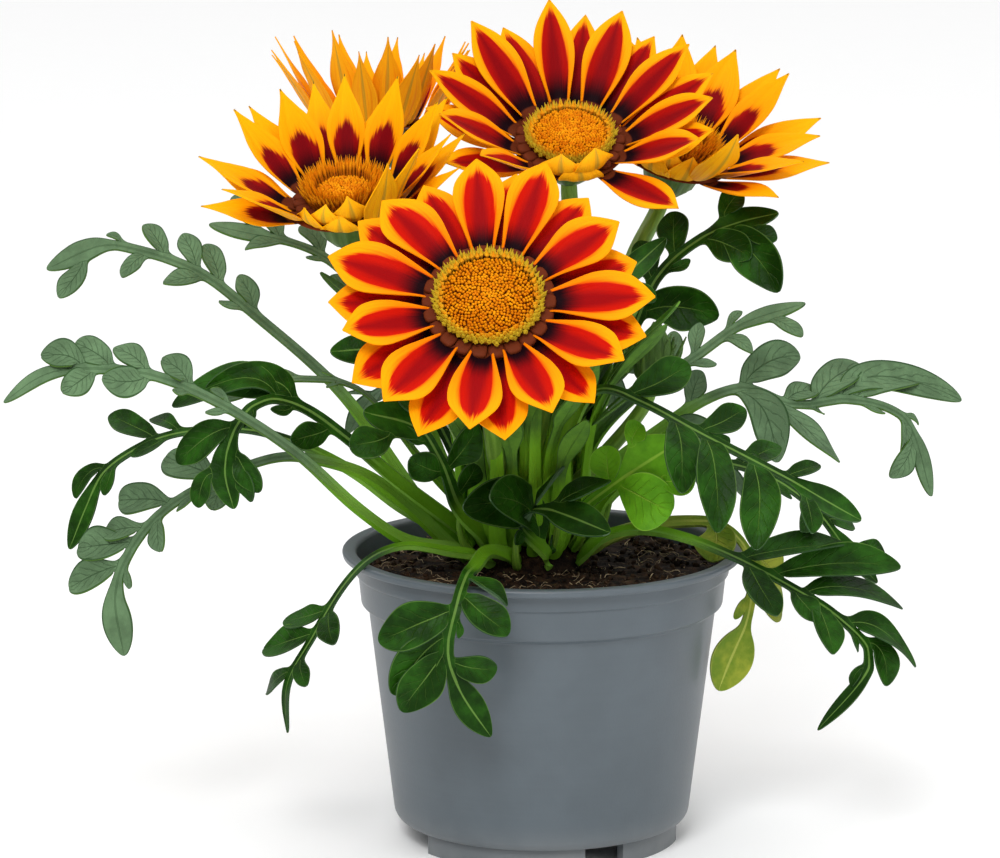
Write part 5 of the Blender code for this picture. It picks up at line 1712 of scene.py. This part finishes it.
class OBJECT_OT_gazania_flowers(bpy.types.Operator):
    """Models the five flowers: stems, cups of bracts, petals and discs"""
    bl_idname = "object.gazania_flowers"
    bl_label = "Flowers"

    def execute(self, context):
        chosen = context.scene.gazania_flower
        for index, (name, row) in enumerate(FLOWERS.items()):
            luck = random.Random(40 + index)
            origin, turn = flower_frame(row)
            axis = turn @ UPRIGHT
            foot = origin - axis * (CUP_HEIGHT + 0.4 * MM)
            stem = make_stem("flower_stem_" + name, row, foot, axis, chosen.stem)
            settle(stem, "stem", "stem_" + name)
            make_cup(name, row)
            make_petals(name, row, luck)
            make_disc(name, row, luck)
        return {"FINISHED"}


class OBJECT_OT_gazania_bud(bpy.types.Operator):
    """Models the closed bud and its stem"""
    bl_idname = "object.gazania_bud"
    bl_label = "Bud"

    def execute(self, context):
        chosen = context.scene.gazania_flower
        foot, top = place(*BUD["foot"]), place(*BUD["top"])
        axis = (top - foot).normalized()
        height = (top - foot).length
        wide = chosen.bud
        outline = [(1.9 * MM, 0.0), (wide * 0.62, height * 0.07), (wide * 0.92, height * 0.2),
                   (wide, height * 0.38), (wide * 0.93, height * 0.56), (wide * 0.7, height * 0.74),
                   (wide * 0.4, height * 0.88), (0.4 * MM, height * 0.95)]
        body = turned("bud_body", outline, 60, ridge=lambda angle, share: 1.0 + 0.07 * math.cos(angle * 10.0))
        skin = bract_skin("bud_skin", (0.030, 0.080, 0.012), (0.090, 0.180, 0.030), (0.050, 0.080, 0.020))
        body.data.materials.append(skin)
        reach, length, half = wide * 0.98, height * 0.36, 1.7 * MM
        kinds = [bract("outer_bract", reach, height * 0.42, length, half, 92.0, skin),
                 bract("inner_bract", wide * 0.80, height * 0.60, height * 0.44, half, 116.0, skin)]
        spines = [bract("spine", reach, height * 0.30, height * 0.52, 0.9 * MM, slope, skin)
                  for slope in (72.0, 67.0, 62.0)]
        bracts = ring_of("bud_bracts", kinds, BUD_BRACTS, skin)
        piece = join([body, bracts, ring_of("bud_spines", spines, BUD_SPINES, skin, 0.3)], "flower_bud")
        put(piece, foot, facing(axis))
        settle(piece, "bract", "bud")
        stem = make_stem("bud_stem", BUD, foot + axis * 0.2 * MM, axis, chosen.stem * 0.8)
        settle(stem, "stem", "stem_bud")
        return {"FINISHED"}


class OBJECT_OT_gazania_stage(bpy.types.Operator):
    """Sets the pale floor, the soft lights and the camera"""
    bl_idname = "object.gazania_stage"
    bl_label = "Stage"

    def execute(self, context):
        chosen = context.scene.gazania_stage
        deselect_all()
        bpy.ops.mesh.primitive_plane_add(size=12.0, location=(0.0, 0.0, 0.0))
        floor = bpy.context.object
        floor.name = "floor"
        look = Look("floor_paint")
        grain = look.noise(look.place(), 40.0, 3.0)
        pale = tuple(chosen.floor)
        dimmer = tuple(part * 0.985 for part in pale)
        floor.data.materials.append(look.finish(look.mix(dimmer, pale, grain), grain * 0.1 + 0.75))
        plant = (0.0, 0.0, 0.12)
        self.lamp("key_light", (-0.35, -1.6, 1.5), plant, chosen.key_light, 0.8)
        self.lamp("fill_light", (1.5, -1.2, 0.7), plant, chosen.fill_light, 0.9)
        self.lamp("top_light", (0.0, 2.0, 4.0), (0.0, 2.0, 0.0), chosen.top_light, 12.0)
        world = bpy.data.worlds.new("surround")
        world.use_nodes = True
        sky = world.node_tree.nodes["Background"]
        sky.inputs["Color"].default_value = (1.0, 1.0, 1.0, 1.0)
        sky.inputs["Strength"].default_value = chosen.sky
        context.scene.world = world
        context.scene.view_settings.view_transform = "Standard"
        tilt = math.radians(90.0) - VIEW_PITCH
        bpy.ops.object.camera_add(location=VIEW_POINT, rotation=(tilt, 0.0, 0.0))
        camera = bpy.context.object
        camera.data.sensor_width = SENSOR_WIDTH
        camera.data.lens = VIEW_FOCAL * SENSOR_WIDTH / VIEW_WIDTH
        camera.data.clip_end = VIEW_CLIP_END
        context.scene.camera = camera
        return {"FINISHED"}

    def lamp(self, name, spot, target, power, size):
        """A square soft light that looks at its target."""
        bpy.ops.object.light_add(type="AREA", location=spot)
        light = bpy.context.object
        light.name = name
        light.data.energy = power
        light.data.size = size
        aim = Vector(target) - Vector(spot)
        light.rotation_euler = aim.to_track_quat("-Z", "Y").to_euler()


class VIEW3D_PT_gazania(bpy.types.Panel):
    """The gazania's pieces and their settings"""
    bl_idname = "VIEW3D_PT_gazania"
    bl_label = "Potted gazania"
    bl_space_type = "VIEW_3D"
    bl_region_type = "UI"
    bl_category = "Gazania"

    def draw(self, context):
        for step, settings in STEPS:
            box = self.layout.box()
            if settings:
                group = getattr(context.scene, settings)
                for name in group.__annotations__:
                    box.prop(group, name)
            box.operator(step.bl_idname)


# Each operator, with the settings it reads
STEPS = (
    (OBJECT_OT_gazania_stage, "gazania_stage"),
    (OBJECT_OT_gazania_pot, "gazania_pot"),
    (OBJECT_OT_gazania_compost, "gazania_compost"),
    (OBJECT_OT_gazania_crown, "gazania_leaf"),
    (OBJECT_OT_gazania_leaves, "gazania_leaf"),
    (OBJECT_OT_gazania_flowers, "gazania_flower"),
    (OBJECT_OT_gazania_bud, "gazania_flower"),
)
SETTINGS = {
    "gazania_pot": GazaniaPotSettings,
    "gazania_compost": GazaniaCompostSettings,
    "gazania_leaf": GazaniaLeafSettings,
    "gazania_flower": GazaniaFlowerSettings,
    "gazania_stage": GazaniaStageSettings,
}
CLASSES = (*SETTINGS.values(), *(step for step, _ in STEPS), VIEW3D_PT_gazania)


def register():
    for entry in CLASSES:
        bpy.utils.register_class(entry)
    for name, group in SETTINGS.items():
        setattr(bpy.types.Scene, name, PointerProperty(type=group))


def unregister():
    for name in SETTINGS:
        delattr(bpy.types.Scene, name)
    for entry in reversed(CLASSES):
        bpy.utils.unregister_class(entry)


def main():
    register()
    bpy.ops.object.gazania_stage()
    bpy.ops.object.gazania_pot()
    bpy.ops.object.gazania_compost()
    bpy.ops.object.gazania_crown()
    bpy.ops.object.gazania_leaves()
    bpy.ops.object.gazania_flowers()
    bpy.ops.object.gazania_bud()


if __name__ == "__main__":
    main()
